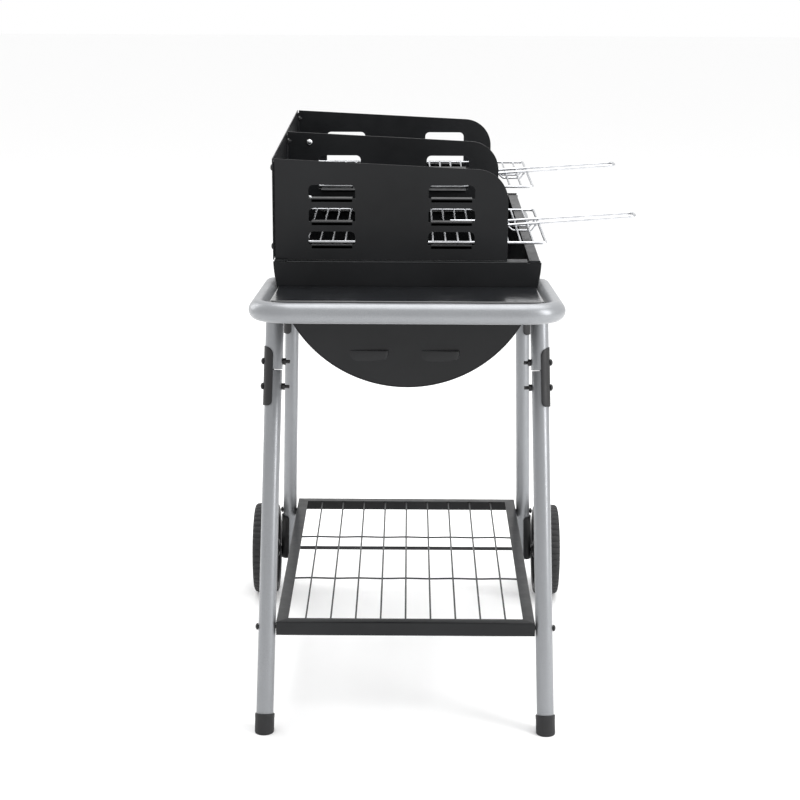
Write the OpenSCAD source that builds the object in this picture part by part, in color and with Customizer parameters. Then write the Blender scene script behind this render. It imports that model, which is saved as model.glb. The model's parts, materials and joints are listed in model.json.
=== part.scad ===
// Open half-barrel charcoal barbecue on a tubular trolley, with a partitioned windshield and two grids.
// The cooking side is +X, the handle and side shelf are at -Y, the wheels are at +Y and +Z is up.

/* [Legs and frame] */
// Half of the distance between the left and right feet
foot_half = 204.5; // [190:1:220]
// Inward lean of every leg per millimetre of height
splay = 0.02; // [0.01:0.005:0.03]
// Backward lean of the front legs per millimetre of height
front_lean = 0.28; // [0.22:0.01:0.3]
// Backward lean of the rear legs per millimetre of height
rear_lean = 0.015; // [0:0.005:0.03]
// Outer diameter of the front leg tube
front_leg_d = 25; // [22:1:28]
// Outer diameter of the rear leg tube
rear_leg_d = 23; // [20:1:26]
// Outer diameter of the two bent upper frames
frame_d = 26.5; // [25:0.5:28]
// Wall thickness of all the tubes
tube_wall = 1.5; // [1:0.25:2]
// Height of the seams between the upper frames and the legs
seam_z = 508; // [480:1:530]
// Height of the handle rail's centre
handle_z = 663; // [650:1:675]
// Distance of the handle rail in front of the front feet
handle_reach = 190; // [170:1:210]
// Fall of the side rails per millimetre, away from the end rails
rail_fall = 0.09; // [0.06:0.01:0.11]
// Distance of the rear rail behind the front feet
rear_rail_y = 714; // [700:1:730]

/* [Bowl] */
// Outer radius of the half-barrel bowl
bowl_r = 184; // [175:1:184]
// Height of the bowl's rim
rim_z = 690; // [680:1:700]
// Height of the barrel's axis above the rim
axis_rise = 6; // [0:1:10]
// Distance of the bowl's front end behind the front feet
bowl_front_y = 26; // [20:1:32]
// Length of the bowl
bowl_len = 624; // [600:1:640]
// Thickness of all the sheet metal
sheet = 1.2; // [1:0.1:1.5]
// Height of the charcoal grate
grate_z = 588; // [575:1:600]

/* [Windshield] */
// Height of the windshield's back edge above the rim
shield_h = 140; // [120:1:150]
// Reach of the partition panels from the barrel's axis towards the cook
shield_front_x = 138; // [125:1:145]
// Fall of the panels' top edges per millimetre
shield_fall = 0.048; // [0.03:0.001:0.06]
// Radius of the panels' upper front corners
shield_corner_r = 44; // [30:1:50]
// Height of the lowest grid ledge above the rim
ledge_first = 21.5; // [20:0.5:26]
// Distance between grid levels
ledge_pitch = 32.2; // [30:0.1:34]

/* [Grids] */
// Reach of the grids from the barrel's axis towards the cook
grid_front_x = 191.5; // [180:1:200]
// Diameter of the grid's frame and handle wire
grid_wire = 4; // [3:0.5:4.5]
// Diameter of the grid's cross rods
rod_wire = 3; // [2.5:0.5:3.5]
// Number of bays between cross rods
rod_bays = 21; // [18:1:24]
// Reach of the handle tips from the barrel's axis
handle_tip_x = 329; // [300:1:340]

/* [Lower shelf] */
// Height of the lower shelf
shelf_z = 157; // [140:1:170]
// Half width of the lower shelf's frame
shelf_half = 188.2; // [180:0.1:188.5]
// Length of the lower shelf
shelf_len = 595; // [580:1:600]

/* [Wheels] */
// Radius of the wheels, and the height of the axle
wheel_r = 77.5; // [70:0.5:85]
// Width of the wheels' tread
wheel_w = 42; // [36:1:46]
// Diameter of the axle rod
axle_d = 6; // [6:1:10]

/* [Hidden] */
$fn = 48;
front_y = -handle_reach;
bowl_rear_y = bowl_front_y + bowl_len;
bowl_mid_y = (bowl_front_y + bowl_rear_y) / 2;
axis_z = rim_z + axis_rise;
axle_y = 593;
corner_r = 44;
knee_r = 48;
side_wheel_x = 220.5;
hub_len = wheel_w - 9;
hub_cap_h = 8;
axle_end_x = side_wheel_x + hub_len + 5;

// The row's origin is under the middle of the whole object
wheel_out_x = side_wheel_x + wheel_w;
handle_out_x = handle_tip_x + grid_wire / 2;
mid_x = (handle_out_x - wheel_out_x) / 2;
mid_y = (front_y + rear_rail_y) / 2;

// Points on the legs' centre lines, for the right side
function front_leg(z) = [foot_half - splay * z, front_lean * z, z];
function rear_leg(z) = [foot_half - splay * z, axle_y + rear_lean * (z - wheel_r), z];
front_knee_z = (handle_z + rail_fall * front_y) / (1 + rail_fall * front_lean);
rear_knee_z = front_knee_z + 10;
front_knee = front_leg(front_knee_z);
rear_knee = rear_leg(rear_knee_z);
rail_x = front_knee[0];
rear_rail_z = rear_knee_z + rail_fall * (rear_rail_y - rear_knee[1]);

// Windshield
shield_z = rim_z + 0.3;
shield_top = rim_z + shield_h;
back_x = -185.5;
panel_x = back_x + sheet;
front_panel_y = bowl_front_y + 8;
middle_y = bowl_mid_y + 4;
rear_panel_y = bowl_rear_y - 9;
flange_w = 14;
window_w = 64;
window_h = 18.5;
window_r = 7;
window_x = [-136, 28.5];
tab_w = 56;
tab_d = 15;
shield_bolt_z = [rim_z + 18, rim_z + 127];
partition_screw_x = -150;
partition_screw_z = [rim_z + 38.5, rim_z + 124.5];
hook_y = [bowl_front_y + 130, bowl_rear_y - 130];
hook_w = 20;
hook_h = 12;

// Grids, one on the lowest ledges and one on the middle ledges
grid_back_x = -173;
front_grid_y = [front_panel_y + sheet + 9, middle_y - 11];
rear_grid_y = [middle_y + sheet * 2 + 10, rear_panel_y - 9];
front_grid_z = rim_z + ledge_first + grid_wire / 2 + 0.3;
rear_grid_z = front_grid_z + ledge_pitch;

// Joint covers and their bolts, measured along the legs from the seams
cover_t = 1.2;
cover_up = 34;
cover_down = 53;
cover_slant = 24;
cover_bolts = [11.5, -25];
bolt_d = 5.6;
hole_d = 6;
spigot_len = 34;
rear_seam_z = seam_z + 5;

// Height of the bolts that carry the bowl, and how far their spacers stay from the tubes' centre lines
mount_z = 580;
mount_clear = 19.2;

// Axle brackets
bracket_t = 2.5;
bracket_h = 76;

// Lower shelf
shelf_y = front_leg(shelf_z)[1] - 11;
angle_w = 17;
angle_h = 20;
angle_t = 1.5;
shelf_wires = 9;
shelf_pitch = 36.5;
shelf_wire = 3;
shelf_bolt_z = shelf_z - 10;

// ---- helpers ----

module in_frame() {
    translate([-mid_x, -mid_y, 0]) children();
}

module side(s) {
    mirror([s < 0 ? 1 : 0, 0, 0]) children();
}

function unit(v) = v / norm(v);

// Places children with local z along the direction and local x as near to the given side as it can be
module aligned(at, along, side_dir = [1, 0, 0]) {
    ez = unit(along);
    ex = unit(side_dir - (side_dir * ez) * ez);
    ey = cross(ez, ex);
    multmatrix([
        [ex[0], ey[0], ez[0], at[0]],
        [ex[1], ey[1], ez[1], at[1]],
        [ex[2], ey[2], ez[2], at[2]],
        [0, 0, 0, 1]
    ]) children();
}

module tube(d_out, d_in, h) {
    difference() {
        cylinder(d = d_out, h = h);
        if (d_in > 0) translate([0, 0, -1]) cylinder(d = d_in, h = h + 2);
    }
}

// A round bar along straight runs, with a bend at each inner point. The bends are a hair thicker than the
// runs and lap over their ends.
bend_swell = 0.2;
bend_lap = 0.9;
// Turn of the straight runs about their own axes, which keeps their seams clear of the bends' seams
run_turn = 35;

module bent_bar(points, bends, d) {
    last = len(points) - 1;
    dirs = [for (i = [0 : last - 1]) unit(points[i + 1] - points[i])];
    turns = [for (i = [1 : last - 1]) acos(dirs[i - 1] * dirs[i])];
    cuts = [for (i = [0 : last]) i == 0 || i == last ? 0 : bends[i - 1] * tan(turns[i - 1] / 2)];
    for (i = [0 : last - 1]) {
        run = norm(points[i + 1] - points[i]) - cuts[i] - cuts[i + 1];
        cross_dir = abs(dirs[i][0]) > 0.9 ? [0, 0, 1] : [1, 0, 0];
        aligned(points[i] + dirs[i] * cuts[i], dirs[i], cross_dir) rotate([0, 0, run_turn])
            cylinder(d = d, h = run);
    }
    for (i = [1 : last - 1]) {
        r = bends[i - 1];
        start = points[i] - dirs[i - 1] * cuts[i];
        inward = unit(dirs[i] - (dirs[i] * dirs[i - 1]) * dirs[i - 1]);
        aligned(start + inward * r, cross(-inward, dirs[i - 1]), -inward) rotate([0, 0, -bend_lap])
            rotate_extrude(angle = turns[i - 1] + 2 * bend_lap) translate([r, 0]) circle(d = d + bend_swell);
    }
}

module flip_x() {
    side(-1) children();
    side(1) children();
}

// Round-headed bolt along local x, from the head's seat at x = 0 back to x = -length
module dome_bolt(d, length, head_d = 10, head_h = 3.5) {
    rotate([0, -90, 0]) cylinder(d = d, h = length);
    rotate([0, 90, 0]) cylinder(d = head_d, h = head_h * 0.4);
    translate([head_h * 0.4, 0, 0]) rotate([0, 90, 0])
        cylinder(d1 = head_d, d2 = head_d * 0.5, h = head_h * 0.6);
}

module hex_nut(across, h, bore) {
    difference() {
        cylinder(d = across / cos(30), h = h, $fn = 6);
        translate([0, 0, -1]) cylinder(d = bore, h = h + 2);
    }
}

// ---- bent upper frames and legs ----

module on_front_leg(z) {
    aligned(front_leg(z), front_leg(z + 1) - front_leg(z)) children();
}

module on_rear_leg(z) {
    aligned(rear_leg(z), rear_leg(z + 1) - rear_leg(z)) children();
}

module cross_holes(offsets, d) {
    for (o = offsets) translate([-40, 0, o]) rotate([0, 90, 0]) cylinder(d = d, h = 80);
}

// Upper frame bent from one tube, whose reduced ends plug into the legs
module upper_frame(ends, knee, corner, leg_d) {
    spigot_d = leg_d - 2 * tube_wall - 0.4;
    bends = [knee_r, corner_r, corner_r, knee_r];
    difference() {
        union() {
            bent_bar(frame_path(ends[1], knee, corner), bends, frame_d);
            flip_x() aligned(ends[0], ends[2] - ends[0]) cylinder(d = spigot_d, h = spigot_len + 2);
        }
        bent_bar(frame_path(ends[2], knee, corner), bends, frame_d - 2 * tube_wall);
        flip_x() aligned(ends[0], ends[2] - ends[0]) translate([0, 0, -1])
            cylinder(d = spigot_d - 2 * tube_wall, h = spigot_len + 9);
        flip_x() aligned(ends[1], ends[2] - ends[1]) cross_holes(cover_bolts, hole_d);
        bowl_mount_holes();
    }
}

function mirrored(p) = [-p[0], p[1], p[2]];

function frame_path(end, knee, corner) = [mirrored(end), mirrored(knee), mirrored(corner), corner, knee, end];

module front_frame() {
    ends = [front_leg(seam_z - spigot_len), front_leg(seam_z), front_leg(seam_z + 4)];
    color("silver") in_frame() upper_frame(ends, front_knee, [rail_x, front_y, handle_z], front_leg_d);
}

module rear_frame() {
    ends = [rear_leg(rear_seam_z - spigot_len), rear_leg(rear_seam_z), rear_leg(rear_seam_z + 4)];
    color("silver") in_frame() upper_frame(ends, rear_knee, [rail_x, rear_rail_y, rear_rail_z], rear_leg_d);
}

module front_leg_tube(s) {
    leg_z = 8;
    color("silver") in_frame() side(s) difference() {
        aligned(front_leg(leg_z), front_leg(seam_z) - front_leg(leg_z))
            tube(front_leg_d, front_leg_d - 2 * tube_wall, norm(front_leg(seam_z) - front_leg(leg_z)) - 0.5);
        on_front_leg(seam_z) cross_holes([cover_bolts[1]], hole_d);
        translate([0, front_leg(shelf_bolt_z)[1], shelf_bolt_z]) shelf_bolt_hole();
    }
}

module rear_leg_tube(s) {
    leg_z = wheel_r - 16;
    color("silver") in_frame() side(s) difference() {
        aligned(rear_leg(leg_z), rear_leg(rear_seam_z) - rear_leg(leg_z))
            tube(rear_leg_d, rear_leg_d - 2 * tube_wall, norm(rear_leg(rear_seam_z) - rear_leg(leg_z)) - 0.5);
        on_rear_leg(rear_seam_z) cross_holes([cover_bolts[1]], hole_d);
        translate([0, rear_leg(shelf_bolt_z)[1], shelf_bolt_z]) shelf_bolt_hole();
        translate([100, axle_y, wheel_r]) rotate([0, 90, 0]) cylinder(d = axle_d + 0.4, h = 200);
    }
}

module shelf_bolt_hole() {
    translate([150, 0, 0]) rotate([0, 90, 0]) cylinder(d = hole_d, h = 100);
}

module foot_cap(s) {
    cap_d = front_leg_d + 3.5;
    cap_top = 27;
    color("#17181a") in_frame() side(s) difference() {
        aligned(front_leg(0), front_leg(1) - front_leg(0)) difference() {
            translate([0, 0, -10]) cylinder(d = cap_d, h = cap_top + 10);
            translate([0, 0, 8.3]) cylinder(d = front_leg_d + 0.2, h = cap_top);
        }
        translate([100, -100, -50]) cube([200, 200, 50]);
    }
}

// ---- plastic covers over the seams ----

module half_shell(inner_d, low, high) {
    difference() {
        translate([0, 0, low]) tube(inner_d + 2 * cover_t, inner_d, high - low);
        translate([-60, -40, low - 1]) cube([60.5, 80, high - low + 2]);
        translate([inner_d / 2 + cover_t, 0, high]) rotate([0, -cover_slant, 0])
            translate([-60, -40, 0]) cube([80, 80, 40]);
    }
}

module joint_cover() {
    difference() {
        half_shell(frame_d + 0.2, -cover_down, cover_up);
        cross_holes(cover_bolts, hole_d);
    }
}

module front_joint_cover(s) {
    color("#17181a") in_frame() side(s) on_front_leg(seam_z) joint_cover();
}

module rear_joint_cover(s) {
    color("#17181a") in_frame() side(s) on_rear_leg(rear_seam_z) joint_cover();
}

cover_out = frame_d / 2 + 0.1 + cover_t;

module one_joint_bolts() {
    for (o = cover_bolts) translate([cover_out + 0.1, 0, o]) dome_bolt(bolt_d, 2 * cover_out + 9.3, 10, 4);
}

module joint_bolts() {
    color("#17181a") in_frame() flip_x() {
        on_front_leg(seam_z) one_joint_bolts();
        on_rear_leg(rear_seam_z) one_joint_bolts();
    }
}

module one_joint_nuts(leg_d) {
    offsets = [frame_d / 2, leg_d / 2];
    for (i = [0, 1]) translate([-offsets[i] - 0.1, 0, cover_bolts[i]])
        rotate([0, -90, 0]) hex_nut(9, 4.5, bolt_d + 0.1);
}

module joint_nuts() {
    color("#17181a") in_frame() flip_x() {
        on_front_leg(seam_z) one_joint_nuts(front_leg_d);
        on_rear_leg(rear_seam_z) one_joint_nuts(rear_leg_d);
    }
}

// ---- side shelf between the handle's side rails ----

tray_half = rail_x - frame_d / 2 - 0.6;
tray_front = 34;
tray_back = bowl_front_y - front_y - 3;
tray_up = 12;
tray_edge = 14;
tray_corner = 8;

module on_side_rails() {
    translate([0, front_y, handle_z]) rotate([-atan(rail_fall), 0, 0]) children();
}

// The shelf in plan, shrunk by the inset, with rounded corners behind the handle rail
module tray_plan(inset) {
    half = tray_half - inset;
    low = tray_front + inset;
    r = tray_corner - inset;
    translate([-half, low + r]) square([2 * half, tray_back - inset - low - r]);
    translate([-half + r, low]) square([2 * (half - r), r + 1]);
    for (x = [-half + r, half - r]) translate([x, low + r]) circle(r = r);
}

module side_shelf() {
    color("#1d1f22") in_frame() on_side_rails() difference() {
        translate([0, 0, tray_up - tray_edge]) linear_extrude(tray_edge) tray_plan(0);
        translate([0, 0, tray_up - tray_edge - sheet]) linear_extrude(tray_edge) tray_plan(sheet);
        side_shelf_holes(4.4);
    }
}

module side_shelf_holes(d) {
    for (y = [tray_front + 40, tray_back - 40])
        translate([-tray_half - 5, y, 0.5]) rotate([0, 90, 0]) cylinder(d = d, h = 2 * tray_half + 10);
}

module side_shelf_screws() {
    color("#2a2c2f") in_frame() on_side_rails() flip_x()
        for (y = [tray_front + 40, tray_back - 40]) translate([tray_half - sheet - 0.1, y, 0.5])
            mirror([1, 0, 0]) dome_bolt(4, sheet + 0.5, 8, 2.5);
}

// ---- bowl ----

rim_flange = 15;
end_flange = 8;
end_r = bowl_r + 0.1 + sheet;

module below_rim(r) {
    intersection() {
        circle(r = r, $fn = 128);
        translate([-bowl_r - 10, -bowl_r - 10]) square([2 * bowl_r + 20, bowl_r + 10 - axis_rise]);
    }
}

module shell_section() {
    rim_half = sqrt(bowl_r * bowl_r - axis_rise * axis_rise);
    difference() {
        below_rim(bowl_r);
        circle(r = bowl_r - sheet, $fn = 128);
    }
    for (s = [-1, 1]) translate([s > 0 ? rim_half - rim_flange : -rim_half, -axis_rise - sheet])
        square([rim_flange, sheet]);
}

// Extrudes a section drawn across the barrel from y0 to y1
module along_barrel(y0, y1) {
    translate([0, y1, axis_z]) rotate([90, 0, 0]) linear_extrude(y1 - y0) children();
}

module bowl_shell() {
    color("#1d1f22") in_frame() difference() {
        along_barrel(bowl_front_y + sheet, bowl_rear_y - sheet) shell_section();
        bowl_mount_holes();
        rivet_holes();
    }
}

module end_plate() {
    along_barrel(0, sheet) below_rim(end_r);
    along_barrel(sheet, end_flange) difference() {
        below_rim(end_r);
        circle(r = bowl_r + 0.1, $fn = 128);
    }
    fold_half = bowl_r - rim_flange - 3;
    translate([-fold_half, 0, rim_z - sheet]) cube([2 * fold_half, 22, sheet]);
}

louvre_w = 54;
louvre_h = 15;
louvre_out = 5;
louvre_z = rim_z - 126;
louvre_x = [-79, 20];

module louvre_slit() {
    for (x = louvre_x) translate([x + 4, -20, louvre_z - 5]) cube([louvre_w - 8, 40, 3.5]);
}

module louvre_hoods() {
    for (x = louvre_x) translate([x, 0, louvre_z]) rotate([90, 0, 90]) linear_extrude(louvre_w) polygon([
        [0, -louvre_h], [-louvre_out, -sheet], [-louvre_out, 0], [-louvre_out + sheet, 0], [0, -louvre_h + 3]
    ]);
}

module bowl_front_end() {
    color("#1d1f22") in_frame() translate([0, bowl_front_y, 0]) difference() {
        union() {
            end_plate();
            louvre_hoods();
        }
        louvre_slit();
        translate([0, -bowl_front_y, 0]) rivet_holes();
    }
}

module bowl_rear_end() {
    color("#1d1f22") in_frame() translate([0, bowl_rear_y, 0]) mirror([0, 1, 0]) difference() {
        union() {
            end_plate();
            louvre_hoods();
        }
        louvre_slit();
        mirror([0, 1, 0]) translate([0, -bowl_rear_y, 0]) rivet_holes();
    }
}

rivet_angles = [18, 62, 118, 162];

// Places children on the barrel's surface, with local x pointing out of it
module on_barrel(angle, y) {
    translate([0, y, axis_z]) rotate([0, angle, 0]) translate([bowl_r, 0, 0]) children();
}

module at_rivets() {
    for (y = [bowl_front_y + 4.6, bowl_rear_y - 4.6]) for (a = rivet_angles) on_barrel(a, y) children();
}

module rivet_holes() {
    at_rivets() translate([-10, 0, 0]) rotate([0, 90, 0]) cylinder(d = 4.2, h = 20);
}

module bowl_rivets() {
    color("#2a2c2f") in_frame() at_rivets() translate([-sheet - 0.15, 0, 0])
        mirror([1, 0, 0]) dome_bolt(4, 2 * sheet + 0.2, 6.4, 1.8);
}

// The bowl hangs between the upper frames on four bolts that point away from the barrel's axis, from
// heads inside the bowl to nuts inside the tubes
mounts = [front_leg(mount_z), rear_leg(mount_z)];
mount_gap = norm([mounts[0][0], mount_z - axis_z]) - bowl_r - frame_d / 2;

module at_mounts() {
    flip_x() for (p = mounts) aligned(p, [0, 1, 0], [p[0], 0, p[2] - axis_z]) children();
}

module bowl_mount_holes() {
    at_mounts() translate([-60, 0, 0]) rotate([0, 90, 0]) cylinder(d = hole_d, h = 60);
}

module bowl_mount_bolts() {
    head_x = frame_d / 2 + mount_gap + sheet + 0.2;
    color("#2a2c2f") in_frame() at_mounts() translate([-head_x, 0, 0])
        mirror([1, 0, 0]) dome_bolt(bolt_d, head_x - 4, 10, 3);
}

module bowl_mount_nuts() {
    color("#2a2c2f") in_frame() at_mounts() translate([-10.2, 0, 0])
        rotate([0, 90, 0]) hex_nut(9, 4.5, bolt_d + 0.1);
}

module bowl_spacers() {
    color("#2a2c2f") in_frame() at_mounts() translate([-frame_d / 2 - mount_gap + 0.2, 0, 0])
        rotate([0, 90, 0]) tube(11, hole_d, frame_d / 2 + mount_gap - 0.2 - mount_clear);
}

// ---- charcoal grate ----

grate_half = sqrt(pow(bowl_r - sheet, 2) - pow(axis_z - grate_z, 2)) - 4;
grate_bars = 19;

module grate_wire(from, to, d) {
    aligned(from, to - from, abs((to - from)[0]) > 1 ? [0, 0, 1] : [1, 0, 0])
        cylinder(d = d, h = norm(to - from));
}

module charcoal_grate() {
    y0 = bowl_front_y + 12;
    y1 = bowl_rear_y - 12;
    pitch = (y1 - y0) / (grate_bars + 1);
    color("#3a3b3d") in_frame() {
        for (s = [-1, 1]) grate_wire([s * grate_half, y0, grate_z], [s * grate_half, y1, grate_z], 5);
        for (y = [y0, y1]) grate_wire([-grate_half, y, grate_z], [grate_half, y, grate_z], 5);
        for (i = [1 : grate_bars])
            grate_wire([-grate_half, y0 + i * pitch, grate_z], [grate_half, y0 + i * pitch, grate_z], 4);
    }
}

// ---- lower shelf ----

module lower_shelf_frame() {
    color("#1d1f22") in_frame() difference() {
        translate([-shelf_half, shelf_y, shelf_z - angle_h]) cube([2 * shelf_half, shelf_len, angle_h]);
        translate([-shelf_half + angle_t, shelf_y + angle_t, shelf_z - angle_h - angle_t])
            cube([2 * (shelf_half - angle_t), shelf_len - 2 * angle_t, angle_h]);
        translate([-shelf_half + angle_w, shelf_y + angle_w, shelf_z - 5])
            cube([2 * (shelf_half - angle_w), shelf_len - 2 * angle_w, 10]);
        flip_x() at_shelf_bolts() shelf_bolt_hole();
    }
}

module at_shelf_bolts() {
    translate([0, front_leg(shelf_bolt_z)[1], shelf_bolt_z]) children();
    translate([0, rear_leg(shelf_bolt_z)[1], shelf_bolt_z]) children();
}

module lower_shelf_wires() {
    z = shelf_z - angle_t - shelf_wire / 2 - 0.1;
    inner = angle_t + 1.5;
    first = -(shelf_wires - 1) / 2 * shelf_pitch;
    color("#2c2d30") in_frame() {
        for (i = [0 : shelf_wires - 1])
            grate_wire([first + i * shelf_pitch, shelf_y + inner, z],
                [first + i * shelf_pitch, shelf_y + shelf_len - inner, z], shelf_wire);
        for (k = [1, 2])
            grate_wire([-shelf_half + inner, shelf_y + k * shelf_len / 3, z],
                [shelf_half - inner, shelf_y + k * shelf_len / 3, z], shelf_wire);
    }
}

// Every leg's point at the height of the lower shelf's bolts, with its tube's diameter
shelf_legs = [[front_leg(shelf_bolt_z), front_leg_d], [rear_leg(shelf_bolt_z), rear_leg_d]];

module lower_shelf_bolts() {
    color("#17181a") in_frame() flip_x() for (leg = shelf_legs)
        translate(leg[0] + [leg[1] / 2 + 0.5, 0, 0]) dome_bolt(bolt_d, leg[1] + 12, 10, 4);
}

module lower_shelf_nuts() {
    color("#17181a") in_frame() flip_x() for (leg = shelf_legs)
        translate([shelf_half - angle_t - 4.6, leg[0][1], shelf_bolt_z]) rotate([0, 90, 0])
            hex_nut(9, 4.5, bolt_d + 0.1);
}

// ---- axle and wheels ----

module axle() {
    color("#222326") in_frame() translate([-axle_end_x, axle_y, wheel_r])
        rotate([0, 90, 0]) cylinder(d = axle_d, h = 2 * axle_end_x);
}

module axle_bracket(s) {
    low = wheel_r - 15.5;
    color("#17181a") in_frame() side(s) difference() {
        on_rear_leg(low) difference() {
            tube(rear_leg_d + 0.2 + 2 * bracket_t, rear_leg_d + 0.2, bracket_h);
            translate([-60, -40, -1]) cube([60.5, 80, bracket_h + 2]);
        }
        translate([100, axle_y, wheel_r]) rotate([0, 90, 0]) cylinder(d = axle_d + 0.4, h = 200);
    }
}

module axle_spacers() {
    spacer_x = rear_leg(wheel_r)[0] + rear_leg_d / 2 + bracket_t + 0.4;
    color("#222326") in_frame() flip_x() translate([spacer_x, axle_y, wheel_r])
        rotate([0, 90, 0]) tube(16, axle_d + 0.2, side_wheel_x - 0.4 - spacer_x);
}

module tread_profile() {
    corner = 5;
    translate([wheel_r - 14, 0]) square([14 - corner, wheel_w]);
    translate([wheel_r - 14, corner]) square([14, wheel_w - 2 * corner]);
    for (y = [corner, wheel_w - corner]) translate([wheel_r - corner, y]) circle(r = corner, $fn = 32);
}

module wheel(s) {
    inner = axle_d / 2 + 0.05;
    spoke_holes = 6;
    color("#1a1b1d") in_frame() side(s) translate([side_wheel_x, axle_y, wheel_r]) rotate([0, 90, 0])
        difference() {
            rotate_extrude($fn = 96) {
                translate([inner, 0]) square([13, hub_len]);
                translate([inner + 6, wheel_w / 2 - 3]) square([wheel_r - 18 - inner, 6]);
                tread_profile();
            }
            for (i = [0 : spoke_holes - 1]) rotate([0, 0, i * 360 / spoke_holes]) translate([41, 0, -1])
                cylinder(r = 13, h = wheel_w + 2);
        }
}

module hub_cap(s) {
    color("#1a1b1d") in_frame() side(s) translate([side_wheel_x + hub_len + 0.1, axle_y, wheel_r])
        rotate([0, 90, 0]) difference() {
            cylinder(d1 = 30, d2 = 24, h = hub_cap_h);
            translate([0, 0, -1]) cylinder(d = axle_d + 0.1, h = 6.2);
        }
}

// ---- windshield ----

module panel_outline() {
    fall = atan(shield_fall);
    cx = shield_front_x - shield_corner_r;
    cz = shield_top - shield_fall * (cx - panel_x) - shield_corner_r / cos(fall);
    difference() {
        union() {
            polygon([
                [panel_x, shield_z], [shield_front_x, shield_z], [shield_front_x, cz],
                [cx + shield_corner_r * sin(fall), cz + shield_corner_r * cos(fall)], [panel_x, shield_top]
            ]);
            translate([cx, cz]) circle(r = shield_corner_r, $fn = 96);
        }
        for (x = window_x) for (i = [0 : 2])
            translate([x, rim_z + ledge_first + i * ledge_pitch]) window_outline();
    }
}

module window_outline() {
    square([window_w, window_h - window_r]);
    translate([window_r, 0]) square([window_w - 2 * window_r, window_h]);
    for (x = [window_r, window_w - window_r]) translate([x, window_h - window_r]) circle(r = window_r);
}

// A partition sheet whose ledges and back flange point to +Y, from y = 0
module partition_sheet() {
    translate([0, sheet, 0]) rotate([90, 0, 0]) linear_extrude(sheet) panel_outline();
    for (x = window_x) for (i = [0 : 2])
        translate([x + (window_w - tab_w) / 2, 0, rim_z + ledge_first + i * ledge_pitch - sheet])
            cube([tab_w, tab_d, sheet]);
    translate([panel_x, 0, shield_z + 8]) cube([sheet, flange_w, shield_h - 12]);
}

module shield_bolt_holes() {
    for (y = shield_bolt_y) for (z = shield_bolt_z)
        translate([back_x - 10, y, z]) rotate([0, 90, 0]) cylinder(d = 4.6, h = 30);
}

module partition_screw_holes() {
    for (z = partition_screw_z) translate([partition_screw_x, middle_y - 10, z])
        rotate([-90, 0, 0]) cylinder(d = 4.6, h = 30);
}

shield_bolt_y = [
    front_panel_y + flange_w / 2 + 1, middle_y - flange_w / 2 - 0.8,
    middle_y + flange_w / 2 + 2, rear_panel_y - flange_w / 2 + 0.2
];

module windshield_back() {
    color("#1d1f22") in_frame() difference() {
        union() {
            translate([back_x, bowl_front_y + 7, shield_z]) cube([sheet, bowl_len - 14, shield_top - shield_z]);
            for (y = hook_y)
                translate([back_x, y - hook_w / 2, rim_z - hook_h]) cube([sheet, hook_w, hook_h + 2]);
        }
        shield_bolt_holes();
    }
}

module windshield_front_panel() {
    color("#1d1f22") in_frame() difference() {
        translate([0, front_panel_y, 0]) partition_sheet();
        shield_bolt_holes();
    }
}

module windshield_middle_front_sheet() {
    color("#1d1f22") in_frame() difference() {
        translate([0, middle_y + sheet, 0]) mirror([0, 1, 0]) partition_sheet();
        shield_bolt_holes();
        partition_screw_holes();
    }
}

module windshield_middle_rear_sheet() {
    color("#1d1f22") in_frame() difference() {
        translate([0, middle_y + sheet, 0]) partition_sheet();
        shield_bolt_holes();
        partition_screw_holes();
    }
}

module windshield_rear_panel() {
    color("#1d1f22") in_frame() difference() {
        translate([0, rear_panel_y + sheet, 0]) mirror([0, 1, 0]) partition_sheet();
        shield_bolt_holes();
    }
}

module windshield_bolts() {
    color("#17181a") in_frame() for (y = shield_bolt_y) for (z = shield_bolt_z)
        translate([back_x - 0.05, y, z]) mirror([1, 0, 0]) dome_bolt(4.2, 2 * sheet + 6, 8.5, 2.8);
}

module windshield_nuts() {
    color("#2a2c2f") in_frame() for (y = shield_bolt_y) for (z = shield_bolt_z)
        translate([back_x + 2 * sheet + 0.05, y, z]) rotate([0, 90, 0]) hex_nut(7, 3, 4.3);
}

module partition_screws() {
    color("#d8dadc") in_frame() for (z = partition_screw_z) translate([partition_screw_x, middle_y - 0.05, z]) {
        rotate([0, 0, -90]) dome_bolt(4.2, 2 * sheet + 5, 9, 2.8);
        translate([0, 2 * sheet + 0.1, 0]) rotate([-90, 0, 0]) hex_nut(7, 3, 4);
    }
}

// ---- wire grids and their hairpin handles ----

grid_corner_r = 6;
pin_half = 19;
pin_tip_half = 15;
pin_start_x = 62;
pin_bend_x = 138;
pin_rise = 13.5;
weld_depth = 0.15;
brace_wire = 3;

module grid(ys, z) {
    length = grid_front_x - grid_back_x;
    frame = [
        [0, ys[0], z], [grid_back_x, ys[0], z], [grid_back_x, ys[1], z],
        [grid_front_x, ys[1], z], [grid_front_x, ys[0], z], [0, ys[0], z]
    ];
    bent_bar(frame, [grid_corner_r, grid_corner_r, grid_corner_r, grid_corner_r], grid_wire);
    for (i = [1 : rod_bays - 1]) {
        x = grid_back_x + i * length / rod_bays;
        grate_wire([x, ys[0], z], [x, ys[1], z], rod_wire);
    }
}

// A point on one leg of the hairpin: it lies on the rods up to the bend and then rises towards the tip
function pin_point(x, s, y, z) =
    let (t = max(0, (x - pin_bend_x) / (handle_tip_x - pin_bend_x)))
    [x, y + s * (pin_half + (pin_tip_half - pin_half) * t), z + pin_rise * t];

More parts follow.
